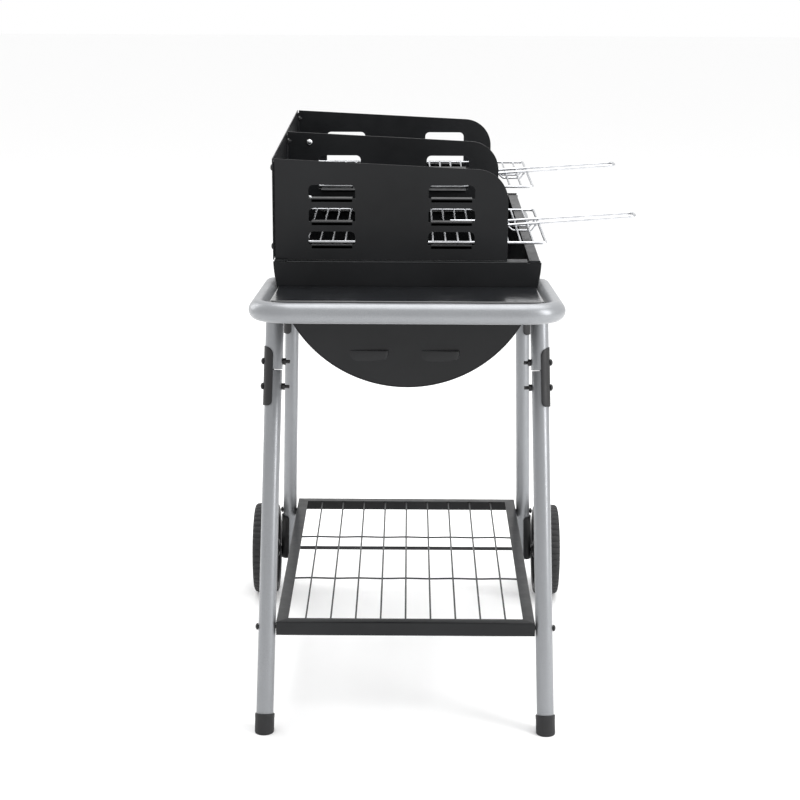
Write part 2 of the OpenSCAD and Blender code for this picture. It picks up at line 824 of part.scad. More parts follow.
// Hairpin handle welded onto the rods. Under each leg of the pin, a brace passes between two rods, runs
// below the last rod and comes up again inside the grid's end wire.
module grid_handle(ys, z) {
    y = (ys[0] + ys[1]) / 2;
    pin_z = z + (rod_wire + grid_wire) / 2 - weld_depth;
    brace_z = z - (grid_wire + brace_wire) / 2 - 0.4;
    brace_x = [grid_front_x - 48, grid_front_x - 40, grid_front_x - 12, grid_front_x - 5];
    bent_bar([
        pin_point(pin_start_x, -1, y, pin_z), pin_point(pin_bend_x, -1, y, pin_z),
        pin_point(handle_tip_x, -1, y, pin_z), pin_point(handle_tip_x, 1, y, pin_z),
        pin_point(pin_bend_x, 1, y, pin_z), pin_point(pin_start_x, 1, y, pin_z)
    ], [60, pin_tip_half - 4, pin_tip_half - 4, 60], grid_wire);
    for (s = [-1, 1]) {
        low = [for (x = brace_x) [x, pin_point(x, s, y, 0)[1], brace_z]];
        bent_bar([pin_point(brace_x[0], s, y, pin_z), low[1], low[2], pin_point(brace_x[3], s, y, pin_z)],
            [4, 4], brace_wire);
    }
}

module front_grid() {
    color("#cfd2d4") in_frame() grid(front_grid_y, front_grid_z);
}

module rear_grid() {
    color("#cfd2d4") in_frame() grid(rear_grid_y, rear_grid_z);
}

module front_grid_handle() {
    color("#d8dadc") in_frame() grid_handle(front_grid_y, front_grid_z);
}

module rear_grid_handle() {
    color("#d8dadc") in_frame() grid_handle(rear_grid_y, rear_grid_z);
}

front_frame();
rear_frame();
front_leg_tube(-1);  // front_leg_left
front_leg_tube(1);  // front_leg_right
rear_leg_tube(-1);  // rear_leg_left
rear_leg_tube(1);  // rear_leg_right
foot_cap(-1);  // foot_cap_left
foot_cap(1);  // foot_cap_right
front_joint_cover(-1);  // front_joint_cover_left
front_joint_cover(1);  // front_joint_cover_right
rear_joint_cover(-1);  // rear_joint_cover_left
rear_joint_cover(1);  // rear_joint_cover_right
joint_bolts();
joint_nuts();
side_shelf();
side_shelf_screws();
bowl_shell();
bowl_front_end();
bowl_rear_end();
bowl_rivets();
bowl_mount_bolts();
bowl_mount_nuts();
bowl_spacers();
charcoal_grate();
lower_shelf_frame();
lower_shelf_wires();
lower_shelf_bolts();
lower_shelf_nuts();
axle();
axle_bracket(-1);  // axle_bracket_left
axle_bracket(1);  // axle_bracket_right
axle_spacers();
wheel(-1);  // wheel_left
wheel(1);  // wheel_right
hub_cap(-1);  // hub_cap_left
hub_cap(1);  // hub_cap_right
windshield_back();
windshield_front_panel();
windshield_middle_front_sheet();
windshield_middle_rear_sheet();
windshield_rear_panel();
windshield_bolts();
windshield_nuts();
partition_screws();
front_grid();
front_grid_handle();
rear_grid();
rear_grid_handle();
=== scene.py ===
"""Looks for the half-barrel charcoal barbecue trolley: smooth bent tubes, folded and pierced sheet metal,
plated wire and moulded plastic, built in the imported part's own frame."""
import bpy
import bmesh
import json
import math
from mathutils import Matrix, Vector


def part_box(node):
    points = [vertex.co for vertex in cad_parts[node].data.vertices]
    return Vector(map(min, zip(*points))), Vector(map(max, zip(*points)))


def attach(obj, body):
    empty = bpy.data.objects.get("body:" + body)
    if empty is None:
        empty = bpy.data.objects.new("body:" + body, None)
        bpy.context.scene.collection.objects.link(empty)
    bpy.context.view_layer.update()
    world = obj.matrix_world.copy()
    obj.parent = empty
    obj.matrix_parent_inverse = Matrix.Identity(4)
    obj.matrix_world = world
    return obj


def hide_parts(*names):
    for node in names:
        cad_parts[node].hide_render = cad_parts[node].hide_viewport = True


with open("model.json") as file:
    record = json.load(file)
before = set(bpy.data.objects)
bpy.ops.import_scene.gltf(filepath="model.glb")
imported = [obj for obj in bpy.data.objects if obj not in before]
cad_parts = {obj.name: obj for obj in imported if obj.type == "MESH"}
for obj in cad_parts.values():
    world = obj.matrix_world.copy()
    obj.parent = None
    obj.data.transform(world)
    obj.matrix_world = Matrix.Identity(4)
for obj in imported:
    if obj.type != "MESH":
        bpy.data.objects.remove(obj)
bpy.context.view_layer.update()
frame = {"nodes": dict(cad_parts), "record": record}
MM = 0.001


# ---- places, from the frame ----

def centre(node):
    low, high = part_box(node)
    return (low + high) / 2


def size(node):
    low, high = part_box(node)
    return high - low


FRONT_FEET_TO_AXLE = 593 * MM
ORIGIN = Vector((centre("bowl_shell").x, centre("axle").y - FRONT_FEET_TO_AXLE, 0))


def at(x, y, z):
    """A point in millimetres from the middle of the front feet, as a point in the row frame."""
    return ORIGIN + Vector((x, y, z)) * MM


def from_origin(node):
    """A node's box in millimetres, measured from the middle of the front feet."""
    low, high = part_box(node)
    return (low - ORIGIN) / MM, (high - ORIGIN) / MM


# Driving dimensions of the trolley, in millimetres
FOOT_HALF = 204.5
SPLAY = 0.02
FRONT_LEAN = 0.28
REAR_LEAN = 0.015
FRONT_LEG_D = 25
REAR_LEG_D = 23
FRAME_D = 26.5
SEAM_Z = 508
REAR_SEAM_Z = SEAM_Z + 5
RAIL_FALL = 0.09
CORNER_R = 44
KNEE_R = 48
AXLE_Y = 593
HANDLE_Y = from_origin("front_frame")[0].y + FRAME_D / 2
HANDLE_Z = 663
REAR_RAIL_Y = from_origin("rear_frame")[1].y - FRAME_D / 2
WHEEL_R = size("wheel_left").z / 2 / MM
SHEET = 1.2
BOWL_FRONT_Y = from_origin("bowl_shell")[0].y - SHEET
BOWL_REAR_Y = from_origin("bowl_shell")[1].y + SHEET
BOWL_R = size("bowl_shell").x / 2 / MM
RIM_Z = from_origin("bowl_shell")[1].z
AXIS_Z = RIM_Z + 6
COVER_BOLTS = (11.5, -25)


def front_leg(z, side=1):
    return at(side * (FOOT_HALF - SPLAY * z), FRONT_LEAN * z, z)


def rear_leg(z, side=1):
    return at(side * (FOOT_HALF - SPLAY * z), AXLE_Y + REAR_LEAN * (z - WHEEL_R), z)


# ---- mesh helpers ----

def new_object(name, verts, faces, smooth=True):
    mesh = bpy.data.meshes.new(name)
    mesh.from_pydata([tuple(v) for v in verts], [], faces)
    mesh.validate()
    obj = bpy.data.objects.new(name, mesh)
    bpy.context.scene.collection.objects.link(obj)
    if smooth:
        mesh.polygons.foreach_set("use_smooth", [True] * len(mesh.polygons))
    return obj


def bake_modifiers(obj):
    """Applies every modifier, so the piece is a plain mesh."""
    evaluated = obj.evaluated_get(bpy.context.evaluated_depsgraph_get())
    mesh = bpy.data.meshes.new_from_object(evaluated)
    obj.modifiers.clear()
    obj.data = mesh
    return obj


def crease_shading(obj, degrees=35):
    """Smooth shading with sharp edges where faces meet at more than the angle."""
    bm = bmesh.new()
    bm.from_mesh(obj.data)
    bmesh.ops.recalc_face_normals(bm, faces=bm.faces)
    limit = math.radians(degrees)
    for edge in bm.edges:
        edge.smooth = not (len(edge.link_faces) == 2 and edge.calc_face_angle(0) > limit)
    for face in bm.faces:
        face.smooth = True
    bm.to_mesh(obj.data)
    bm.free()
    return obj


def bevelled(obj, width, segments=2, degrees=40):
    bevel = obj.modifiers.new("edge", "BEVEL")
    bevel.width = width * MM
    bevel.segments = segments
    bevel.limit_method = "ANGLE"
    bevel.angle_limit = math.radians(degrees)
    bevel.harden_normals = False
    return crease_shading(bake_modifiers(obj), 50)


def joined(name, objects):
    """One object from several, each in place."""
    bm = bmesh.new()
    for obj in objects:
        mesh = obj.data.copy()
        mesh.transform(obj.matrix_world)
        bm.from_mesh(mesh)
        bpy.data.meshes.remove(mesh)
        bpy.data.objects.remove(obj)
    mesh = bpy.data.meshes.new(name)
    bm.to_mesh(mesh)
    bm.free()
    made = bpy.data.objects.new(name, mesh)
    bpy.context.scene.collection.objects.link(made)
    return made


def axes_along(direction, side):
    """Rotation whose z lies along the direction and whose x is as near to the side as it can be."""
    z = direction.normalized()
    x = (side - side.dot(z) * z).normalized()
    return Matrix((x, z.cross(x), z)).transposed()


def placed(obj, position, direction=Vector((0, 0, 1)), side=Vector((1, 0, 0))):
    obj.data.transform(Matrix.Translation(position) @ axes_along(direction, side).to_4x4())
    obj.data.update()
    return obj


def rounded_path(points, bends, step_degrees=6):
    """The points' polyline with an arc of the given radius, in millimetres, at each inner point."""
    path = [points[0]]
    for before, corner, after, bend in zip(points, points[1:], points[2:], bends):
        back, on = (before - corner).normalized(), (after - corner).normalized()
        turn = math.pi - back.angle(on)
        radius = bend * MM
        cut = radius * math.tan(turn / 2)
        middle = corner + (back + on).normalized() * radius / math.cos(turn / 2)
        first, last = corner + back * cut - middle, corner + on * cut - middle
        steps = max(3, math.ceil(math.degrees(turn) / step_degrees))
        path += [middle + first.normalized().slerp(last.normalized(), i / steps) * radius
                 for i in range(steps + 1)]
    return path + [points[-1]]


def sweep(name, path, diameter, sides=20, end_round=0.0):
    """A round bar along the path. end_round, in millimetres, is the radius of the edge at both ends."""
    radius = diameter / 2 * MM
    stations = [(p, radius) for p in path]
    if end_round:
        edge = end_round * MM
        for end, inner in ((0, 1), (-1, -2)):
            inward = (path[inner] - path[end]).normalized()
            quarter = [(path[end] + inward * edge * (1 - math.cos(a)), radius - edge * (1 - math.sin(a)))
                       for a in (0.0, math.pi / 6, math.pi / 3, math.pi / 2)]
            stations = quarter + stations[1:] if end == 0 else stations[:-1] + quarter[::-1]
    points = [s[0] for s in stations]
    tangents = [(b - a).normalized() for a, b in zip(points, points[1:])]
    tangents = [tangents[0]] + [(a + b).normalized() for a, b in zip(tangents, tangents[1:])] + [tangents[-1]]
    normal = tangents[0].orthogonal().normalized()
    verts, faces = [], []
    for (point, r), tangent in zip(stations, tangents):
        normal = (normal - normal.dot(tangent) * tangent).normalized()
        binormal = tangent.cross(normal)
        verts += [point + (normal * math.cos(a) + binormal * math.sin(a)) * r
                  for a in (2 * math.pi * k / sides for k in range(sides))]
    for i in range(len(stations) - 1):
        for k in range(sides):
            n = (k + 1) % sides
            faces.append((i * sides + k, i * sides + n, (i + 1) * sides + n, (i + 1) * sides + k))
    faces.append(tuple(reversed(range(sides))))
    faces.append(tuple(range((len(stations) - 1) * sides, len(stations) * sides)))
    return crease_shading(new_object(name, verts, faces), 40)


def lathe(name, profile, sides=40):
    """Turns (radius, height) points, in millimetres, about the z axis. Points on the axis close the shape."""
    verts, rings = [], []
    for r, z in profile:
        if r < 1e-6:
            rings.append([len(verts)] * sides)
            verts.append((0, 0, z * MM))
        else:
            rings.append(list(range(len(verts), len(verts) + sides)))
            verts += [(r * MM * math.cos(a), r * MM * math.sin(a), z * MM)
                      for a in (2 * math.pi * k / sides for k in range(sides))]
    faces = []
    for low, high in zip(rings, rings[1:]):
        for k in range(sides):
            n = (k + 1) % sides
            face = list(dict.fromkeys((low[k], low[n], high[n], high[k])))
            if len(face) > 2:
                faces.append(tuple(face))
    return crease_shading(new_object(name, verts, faces), 38)


def sheet_outline(name, loops, thickness, edge=0.15):
    """A flat sheet in the xy plane, centred on z = 0, from closed outlines in millimetres. The first is the
    outside and the others are holes; edge is the radius of its cut edges."""
    curve = bpy.data.curves.new(name, "CURVE")
    curve.dimensions = "2D"
    curve.fill_mode = "BOTH"
    curve.extrude = (thickness / 2 - edge) * MM
    curve.bevel_depth = edge * MM
    curve.bevel_resolution = 1
    curve.offset = -edge * MM
    for loop in loops:
        spline = curve.splines.new("POLY")
        spline.points.add(len(loop) - 1)
        for point, (x, y) in zip(spline.points, loop):
            point.co = (x * MM, y * MM, 0, 1)
        spline.use_cyclic_u = True
    flat = bpy.data.objects.new(name, curve)
    bpy.context.scene.collection.objects.link(flat)
    bpy.context.view_layer.update()
    mesh = bpy.data.meshes.new_from_object(flat.evaluated_get(bpy.context.evaluated_depsgraph_get()))
    bpy.data.objects.remove(flat)
    obj = bpy.data.objects.new(name, mesh)
    bpy.context.scene.collection.objects.link(obj)
    return crease_shading(obj, 50)


def arc(cx, cy, r, start, end, steps=10):
    """Points on an arc, with its angles in degrees."""
    angles = [math.radians(start + (end - start) * i / steps) for i in range(steps + 1)]
    return [(cx + r * math.cos(a), cy + r * math.sin(a)) for a in angles]


def strip(name, section, length, thickness):
    """Folded sheet: a line of (x, y) points, in millimetres, thickened to its left and run along +z."""
    left = []
    for i, (x, y) in enumerate(section):
        before = Vector(section[max(i - 1, 0)])
        after = Vector(section[min(i + 1, len(section) - 1)])
        along = (after - before).normalized()
        left.append((x - along.y * thickness, y + along.x * thickness))
    ring = section + left[::-1]
    count = len(ring)
    verts = [(x * MM, y * MM, z * MM) for z in (0, length) for x, y in ring]
    faces = [(k, (k + 1) % count, count + (k + 1) % count, count + k) for k in range(count)]
    half = len(section)
    for base in (0, count):
        for k in range(half - 1):
            quad = (base + k, base + k + 1, base + count - 2 - k, base + count - 1 - k)
            faces.append(quad if base else quad[::-1])
    return crease_shading(new_object(name, verts, faces), 40)


# ---- materials ----

def shader(name, **constants):
    material = bpy.data.materials.new(name)
    material.use_nodes = True
    nodes = material.node_tree.nodes
    principled = nodes["Principled BSDF"]
    for socket, value in constants.items():
        principled.inputs[socket.replace("_", " ")].default_value = value
    return material, nodes, material.node_tree.links, principled


def noise(nodes, links, coordinates, scale, detail=3.0, roughness=0.55, distortion=0.0):
    node = nodes.new("ShaderNodeTexNoise")
    node.inputs["Scale"].default_value = scale
    node.inputs["Detail"].default_value = detail
    node.inputs["Roughness"].default_value = roughness
    node.inputs["Distortion"].default_value = distortion
    links.new(coordinates, node.inputs["Vector"])
    return node.outputs["Fac"]


def ramp(nodes, links, value, stops):
    node = nodes.new("ShaderNodeValToRGB")
    ends = node.color_ramp.elements
    while len(ends) < len(stops):
        ends.new(0.5)
    for element, (position, colour) in zip(ends, stops):
        element.position = position
        element.color = (*colour, 1) if len(colour) == 3 else colour
    links.new(value, node.inputs["Fac"])
    return node.outputs["Color"]


def span(nodes, links, value, low, high, to_low, to_high):
    node = nodes.new("ShaderNodeMapRange")
    for socket, number in zip(("From Min", "From Max", "To Min", "To Max"), (low, high, to_low, to_high)):
        node.inputs[socket].default_value = number
    links.new(value, node.inputs["Value"])
    return node.outputs["Result"]


def mixed(nodes, links, factor, a, b):
    node = nodes.new("ShaderNodeMix")
    node.data_type = "RGBA"
    links.new(factor, node.inputs["Factor"])
    for socket, value in (("A", a), ("B", b)):
        target = [i for i in node.inputs if i.name == socket and i.type == "RGBA"][0]
        if isinstance(value, tuple):
            target.default_value = (*value, 1)
        else:
            links.new(value, target)
    return [o for o in node.outputs if o.type == "RGBA"][0]


def bumped(nodes, links, principled, layers, soft_edge=0.0):
    """Stacks bump layers of (height, strength, distance in millimetres), over a softened edge."""
    normal = None
    if soft_edge:
        bevel = nodes.new("ShaderNodeBevel")
        bevel.samples = 4
        bevel.inputs["Radius"].default_value = soft_edge * MM
        normal = bevel.outputs["Normal"]
    for height, strength, distance in layers:
        bump = nodes.new("ShaderNodeBump")
        bump.inputs["Strength"].default_value = strength
        bump.inputs["Distance"].default_value = distance * MM
        links.new(height, bump.inputs["Height"])
        if normal:
            links.new(normal, bump.inputs["Normal"])
        normal = bump.outputs["Normal"]
    links.new(normal, principled.inputs["Normal"])


def edge_mask(nodes, links, radius):
    """Near 1 along sharp edges and 0 on flat faces."""
    bevel = nodes.new("ShaderNodeBevel")
    bevel.samples = 4
    bevel.inputs["Radius"].default_value = radius * MM
    geometry = nodes.new("ShaderNodeNewGeometry")
    dot = nodes.new("ShaderNodeVectorMath")
    dot.operation = "DOT_PRODUCT"
    links.new(bevel.outputs["Normal"], dot.inputs[0])
    links.new(geometry.outputs["True Normal"], dot.inputs[1])
    return span(nodes, links, dot.outputs["Value"], 0.985, 0.80, 0.0, 1.0)


def scuffed(nodes, links, mask, coordinates, scale=140):
    """Breaks a mask up, as wear is uneven."""
    patches = span(nodes, links, noise(nodes, links, coordinates, scale, 4, 0.7), 0.46, 0.62, 0.15, 1.0)
    node = nodes.new("ShaderNodeMath")
    node.operation = "MULTIPLY"
    links.new(mask, node.inputs[0])
    links.new(patches, node.inputs[1])
    return node.outputs["Value"]


def coated_metal(name, colour, worn, roughness, peel, grain, metallic=0.0, specular=0.5, coat=0.0,
                 wear=0.6, mottling=0.25):
    """Painted or powder-coated metal: orange peel, fine grain, uneven gloss and edges rubbed thin."""
    material, nodes, links, principled = shader(
        name, Metallic=metallic, Specular_IOR_Level=specular, Coat_Weight=coat, Coat_Roughness=0.12)
    coordinates = nodes.new("ShaderNodeTexCoord").outputs["Object"]
    broad = noise(nodes, links, coordinates, 9, 4)
    fine = noise(nodes, links, coordinates, 900, 2)
    soft = tuple(c * (1 - mottling) for c in colour)
    strong = tuple(min(1, c * (1 + mottling)) for c in colour)
    base = ramp(nodes, links, broad, [(0.3, soft), (0.7, strong)])
    edges = scuffed(nodes, links, edge_mask(nodes, links, 1.0), coordinates)
    thin = span(nodes, links, edges, 0, 1, 0, wear)
    links.new(mixed(nodes, links, thin, base, worn), principled.inputs["Base Color"])
    dull = span(nodes, links, noise(nodes, links, coordinates, 38, 5, 0.65), 0.3, 0.7,
                roughness - 0.06, roughness + 0.07)
    links.new(dull, principled.inputs["Roughness"])
    bumped(nodes, links, principled,
           [(noise(nodes, links, coordinates, 260, 2), peel, 0.06), (fine, grain, 0.03)], 0.5)
    return material


def flake_silver(name):
    """Silver powder coat: a grey base with fine bright flakes, orange peel and dusty scuffs."""
    material, nodes, links, principled = shader(name, Metallic=0.55, Specular_IOR_Level=0.5, Coat_Weight=0.15,
                                                Coat_Roughness=0.3)
    coordinates = nodes.new("ShaderNodeTexCoord").outputs["Object"]
    flakes = nodes.new("ShaderNodeTexVoronoi")
    flakes.inputs["Scale"].default_value = 1600
    links.new(coordinates, flakes.inputs["Vector"])
    sparkle = ramp(nodes, links, flakes.outputs["Distance"],
                   [(0.1, (0.34, 0.35, 0.365)), (0.6, (0.25, 0.258, 0.27))])
    broad = span(nodes, links, noise(nodes, links, coordinates, 14, 4), 0.3, 0.7, 0.0, 0.22)
    dusty = mixed(nodes, links, broad, sparkle, (0.22, 0.225, 0.235))
    scratches = nodes.new("ShaderNodeMapping")
    scratches.inputs["Scale"].default_value = (260, 260, 26)
    links.new(coordinates, scratches.inputs["Vector"])
    rubbed = span(nodes, links, noise(nodes, links, scratches.outputs["Vector"], 1, 5, 0.75), 0.66, 0.80, 0.0,
                  0.35)
    links.new(mixed(nodes, links, rubbed, dusty, (0.30, 0.30, 0.31)), principled.inputs["Base Color"])
    gloss = span(nodes, links, noise(nodes, links, coordinates, 45, 5, 0.65), 0.3, 0.7, 0.30, 0.42)
    links.new(gloss, principled.inputs["Roughness"])
    bumped(nodes, links, principled, [(noise(nodes, links, coordinates, 320, 2), 0.18, 0.06),
                                      (flakes.outputs["Distance"], 0.10, 0.02)], 0.5)
    return material


def moulded_plastic(name, colour, roughness, grain=0.45):
    """Black moulding: a fine spark-eroded grain, slight flow marks and paler rubbed edges."""
    material, nodes, links, principled = shader(name, Specular_IOR_Level=0.45)
    coordinates = nodes.new("ShaderNodeTexCoord").outputs["Object"]
    flow = noise(nodes, links, coordinates, 22, 4, 0.6, 0.8)
    base = ramp(nodes, links, flow,
                [(0.3, tuple(c * 0.75 for c in colour)), (0.75, tuple(c * 1.3 for c in colour))])
    edges = span(nodes, links, scuffed(nodes, links, edge_mask(nodes, links, 1.2), coordinates), 0, 1, 0, 0.5)
    links.new(mixed(nodes, links, edges, base, tuple(c * 4 for c in colour)), principled.inputs["Base Color"])
    links.new(span(nodes, links, flow, 0.3, 0.7, roughness - 0.05, roughness + 0.08),
              principled.inputs["Roughness"])
    bumped(nodes, links, principled, [(noise(nodes, links, coordinates, 1300, 2, 0.7), grain, 0.05)], 0.5)
    return material


def plated_wire(name, colour, roughness, tarnish):
    """Plated steel: a fine speckled grain, cloudy plating and duller patches."""
    material, nodes, links, principled = shader(name, Metallic=1.0)
    coordinates = nodes.new("ShaderNodeTexCoord").outputs["Object"]
    cloudy = noise(nodes, links, coordinates, 60, 5, 0.65)
    links.new(ramp(nodes, links, cloudy, [(0.35, tarnish), (0.62, colour)]), principled.inputs["Base Color"])
    links.new(span(nodes, links, cloudy, 0.3, 0.7, roughness + 0.12, roughness),
              principled.inputs["Roughness"])
    bumped(nodes, links, principled, [(noise(nodes, links, coordinates, 1500, 2), 0.15, 0.02)])
    return material


MATERIALS = {
    "silver_paint": flake_silver("silver_paint"),
    "black_enamel": coated_metal("black_enamel", (0.0075, 0.008, 0.009), (0.07, 0.073, 0.078), 0.34, 0.16,
                                 0.15,
                                 specular=0.28, wear=0.45),
    "shelf_enamel": coated_metal("shelf_enamel", (0.008, 0.009, 0.011), (0.16, 0.165, 0.17), 0.20, 0.05, 0.04,
                                 specular=0.5, coat=0.3, wear=0.8, mottling=0.15),
    "black_plastic": moulded_plastic("black_plastic", (0.008, 0.008, 0.009), 0.50),
    "wheel_plastic": moulded_plastic("wheel_plastic", (0.010, 0.010, 0.011), 0.58, 0.55),
    "chrome_wire": plated_wire("chrome_wire", (0.66, 0.67, 0.69), 0.18, (0.48, 0.49, 0.51)),
    "grate_steel": plated_wire("grate_steel", (0.16, 0.155, 0.15), 0.42, (0.07, 0.065, 0.06)),
    "shelf_wire": coated_metal("shelf_wire", (0.018, 0.019, 0.021), (0.12, 0.12, 0.13), 0.42, 0.1, 0.1),
    "black_bolts": coated_metal("black_bolts", (0.012, 0.012, 0.013), (0.15, 0.15, 0.155), 0.38, 0.1, 0.2,
                                metallic=0.3, wear=0.7),
    "bright_screws": plated_wire("bright_screws", (0.86, 0.87, 0.88), 0.22, (0.70, 0.70, 0.70)),
    "axle_steel": coated_metal("axle_steel", (0.016, 0.016, 0.018), (0.16, 0.16, 0.17), 0.36, 0.1, 0.1),
}
SLOT_OF = {row["node"]: row["material_slot"] for row in frame["record"]["subparts"]}
BODY_OF = {node: body for body, nodes in frame["record"]["behaviour"]["bodies"].items() for node in nodes}

for node, obj in frame["nodes"].items():
    obj.data.materials.clear()
    obj.data.materials.append(MATERIALS[SLOT_OF[node]])


def stands_for(node, obj):
    """The finished piece takes the node's place, body and material."""
    obj.name = node + "_look"
    obj.data.name = node + "_look"
    obj.data.materials.clear()
    obj.data.materials.append(MATERIALS[SLOT_OF[node]])
    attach(obj, BODY_OF[node])
    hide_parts(node)
    return obj


SIDES = {"left": -1, "right": 1}
UP = Vector((0, 0, 1))


# ---- bent upper frames and legs ----

def bent_frame(node, leg, seam_z, knee_z, corner):
    seam, knee = leg(seam_z), leg(knee_z)
    corner = Vector((knee.x, corner.y, corner.z))

    def flipped(p):
        return Vector((2 * ORIGIN.x - p.x, p.y, p.z))

    points = [flipped(seam), flipped(knee), flipped(corner), corner, knee, seam]
    path = rounded_path(points, (KNEE_R, CORNER_R, CORNER_R, KNEE_R), 4)
    stands_for(node, sweep(node, path, FRAME_D, 48, 0.6))


FRONT_KNEE_Z = (HANDLE_Z + RAIL_FALL * HANDLE_Y) / (1 + RAIL_FALL * FRONT_LEAN)
REAR_KNEE_Z = FRONT_KNEE_Z + 10
rear_knee_y = (rear_leg(REAR_KNEE_Z) - ORIGIN).y / MM
REAR_RAIL_Z = REAR_KNEE_Z + RAIL_FALL * (REAR_RAIL_Y - rear_knee_y)

bent_frame("front_frame", front_leg, SEAM_Z + 0.3, FRONT_KNEE_Z, at(0, HANDLE_Y, HANDLE_Z))
bent_frame("rear_frame", rear_leg, REAR_SEAM_Z + 0.3, REAR_KNEE_Z, at(0, REAR_RAIL_Y, REAR_RAIL_Z))

for side_name, side in SIDES.items():
    for kind, leg, low, seam_z, diameter in (("front", front_leg, 8, SEAM_Z, FRONT_LEG_D),
                                             ("rear", rear_leg, 61.5, REAR_SEAM_Z, REAR_LEG_D)):
        path = [leg(low, side), leg((low + seam_z) / 2, side), leg(seam_z - 0.9, side)]
        stands_for(f"{kind}_leg_{side_name}", sweep("leg", path, diameter, 48, 0.6))


# ---- fasteners ----

def dome_bolt(name, head_d, head_h, shank_d, length, thread=8.0):
    """A round-headed bolt whose head rests on z = 0 and whose shank runs down from it."""
    r, root = shank_d / 2, shank_d / 2 - 0.35
    profile = [(0, -length), (root - 0.3, -length)]
    turns = int(thread)
    for k in range(turns):
        z = -length + 0.4 + k * thread / turns
        profile += [(root, z), (r, z + 0.45), (r, z + 0.6)]
    profile += [(r, -length + thread + 1), (r, 0), (head_d / 2 - 0.3, 0), (head_d / 2, 0.35),
                (head_d / 2, 0.8)]
    profile += [(head_d / 2 * math.cos(a), 0.8 + (head_h - 0.8) * math.sin(a))
                for a in (math.pi / 2 * k / 6 for k in range(1, 6))]
    return lathe(name, profile + [(0, head_h)], 28)


def hex_nut(name, across, height, bore):
    """A chamfered hexagon nut from z = 0 up."""
    corner = across / 2 / math.cos(math.pi / 6)
    profile = [(bore / 2, 0), (corner * 0.92, 0), (corner, 0.5), (corner, height - 0.5),
               (corner * 0.92, height), (bore / 2, height), (bore / 2, 0)]
    return lathe(name, profile, 6)


def ring(name, inner_d, outer_d, height, edge=0.4):
    inner, outer = inner_d / 2, outer_d / 2
    profile = [(inner, 0), (outer - edge, 0), (outer, edge), (outer, height - edge), (outer - edge, height),
               (inner, height), (inner, 0)]
    return lathe(name, profile, 36)


def fastener_group(node, makers):
    """Makers are (make, position, outward direction) for each separate piece of one node."""
    pieces = [placed(make(), position, direction,
                     UP if abs(direction.normalized().z) < 0.9 else Vector((1, 0, 0)))
              for make, position, direction in makers]
    stands_for(node, joined(node, pieces))


# ---- leg fittings ----

COVER_WALL = 1.2
BRACKET_WALL = 2.5
BRACKET_H = 76
COVER_UP = 34
COVER_DOWN = 53
COVER_SLANT = math.tan(math.radians(24))
COVER_OUT = FRAME_D / 2 + 0.1 + COVER_WALL


def half_cover(name, inner_r, low, high, slant, corner=7.0, wall=COVER_WALL):
    """Half-round shell along z, open towards -x, with rounded corners and a slanted top end."""
    outer_r, reach = inner_r + wall, math.radians(88)
    columns, rows = 32, 14
    verts, faces = [], []
    for r in (outer_r, inner_r):
        for i in range(columns + 1):
            a = -reach * math.cos(math.pi * i / columns)
            to_edge = min(corner, outer_r * (reach - abs(a)))
            inset = corner - math.sqrt(corner ** 2 - (corner - to_edge) ** 2)
            top, bottom = high - slant * outer_r * (1 - math.cos(a)) - inset, low + inset
            verts += [(r * MM * math.cos(a), r * MM * math.sin(a), (bottom + (top - bottom) * j / rows) * MM)
                      for j in range(rows + 1)]
    column, shell = rows + 1, (columns + 1) * (rows + 1)

    def v(layer, i, j):
        return layer * shell + i * column + j

    for i in range(columns):
        for j in range(rows):
            quad = (v(0, i, j), v(0, i + 1, j), v(0, i + 1, j + 1), v(0, i, j + 1))
            faces += [quad, tuple(k + shell for k in quad[::-1])]
        faces += [(v(1, i, 0), v(1, i + 1, 0), v(0, i + 1, 0), v(0, i, 0)),
                  (v(0, i, rows), v(0, i + 1, rows), v(1, i + 1, rows), v(1, i, rows))]
    for j in range(rows):
        faces += [(v(0, 0, j), v(0, 0, j + 1), v(1, 0, j + 1), v(1, 0, j)),
                  (v(1, columns, j), v(1, columns, j + 1), v(0, columns, j + 1), v(0, columns, j))]
    return bevelled(new_object(name, verts, faces), wall * 0.28, 2, 50)


def leg_axes(leg, side):
    """Direction up a leg, and the outward direction square to it."""
    up = (leg(200, side) - leg(100, side)).normalized()
    out = Vector((side, 0, 0))
    return up, (out - out.dot(up) * up).normalized()


for side_name, side in SIDES.items():
    for kind, leg, seam_z in (("front", front_leg, SEAM_Z), ("rear", rear_leg, REAR_SEAM_Z)):
        up, out = leg_axes(leg, side)
        cover = half_cover("cover", FRAME_D / 2 + 0.1, -COVER_DOWN, COVER_UP, COVER_SLANT)
        stands_for(f"{kind}_joint_cover_{side_name}", placed(cover, leg(seam_z, side), up, out))
    up, out = leg_axes(rear_leg, side)
    bracket = half_cover("bracket", REAR_LEG_D / 2 + 0.1, 0, BRACKET_H, 0, wall=BRACKET_WALL)
    stands_for(f"axle_bracket_{side_name}", placed(bracket, rear_leg(62, side), up, out))


def joint_fasteners(outer):
    """Bolts outside or nuts inside, at both bolts of all four covers."""
    found = []
    for side in SIDES.values():
        for leg, leg_d, seam_z in ((front_leg, FRONT_LEG_D, SEAM_Z), (rear_leg, REAR_LEG_D, REAR_SEAM_Z)):
            up, out = leg_axes(leg, side)
            for offset, tube_d in zip(COVER_BOLTS, (FRAME_D, leg_d)):
                middle = leg(seam_z, side) + up * offset * MM
                if outer:
                    found.append((lambda: dome_bolt("bolt", 10, 4, 5.6, 2 * COVER_OUT + 9.3),
                                  middle + out * (COVER_OUT + 0.1) * MM, out))
                else:
                    found.append((lambda: hex_nut("nut", 9, 4.5, 5.7), middle - out * (tube_d / 2 + 0.1) * MM,
                                  -out))
    return found


fastener_group("joint_bolts", joint_fasteners(True))
fastener_group("joint_nuts", joint_fasteners(False))


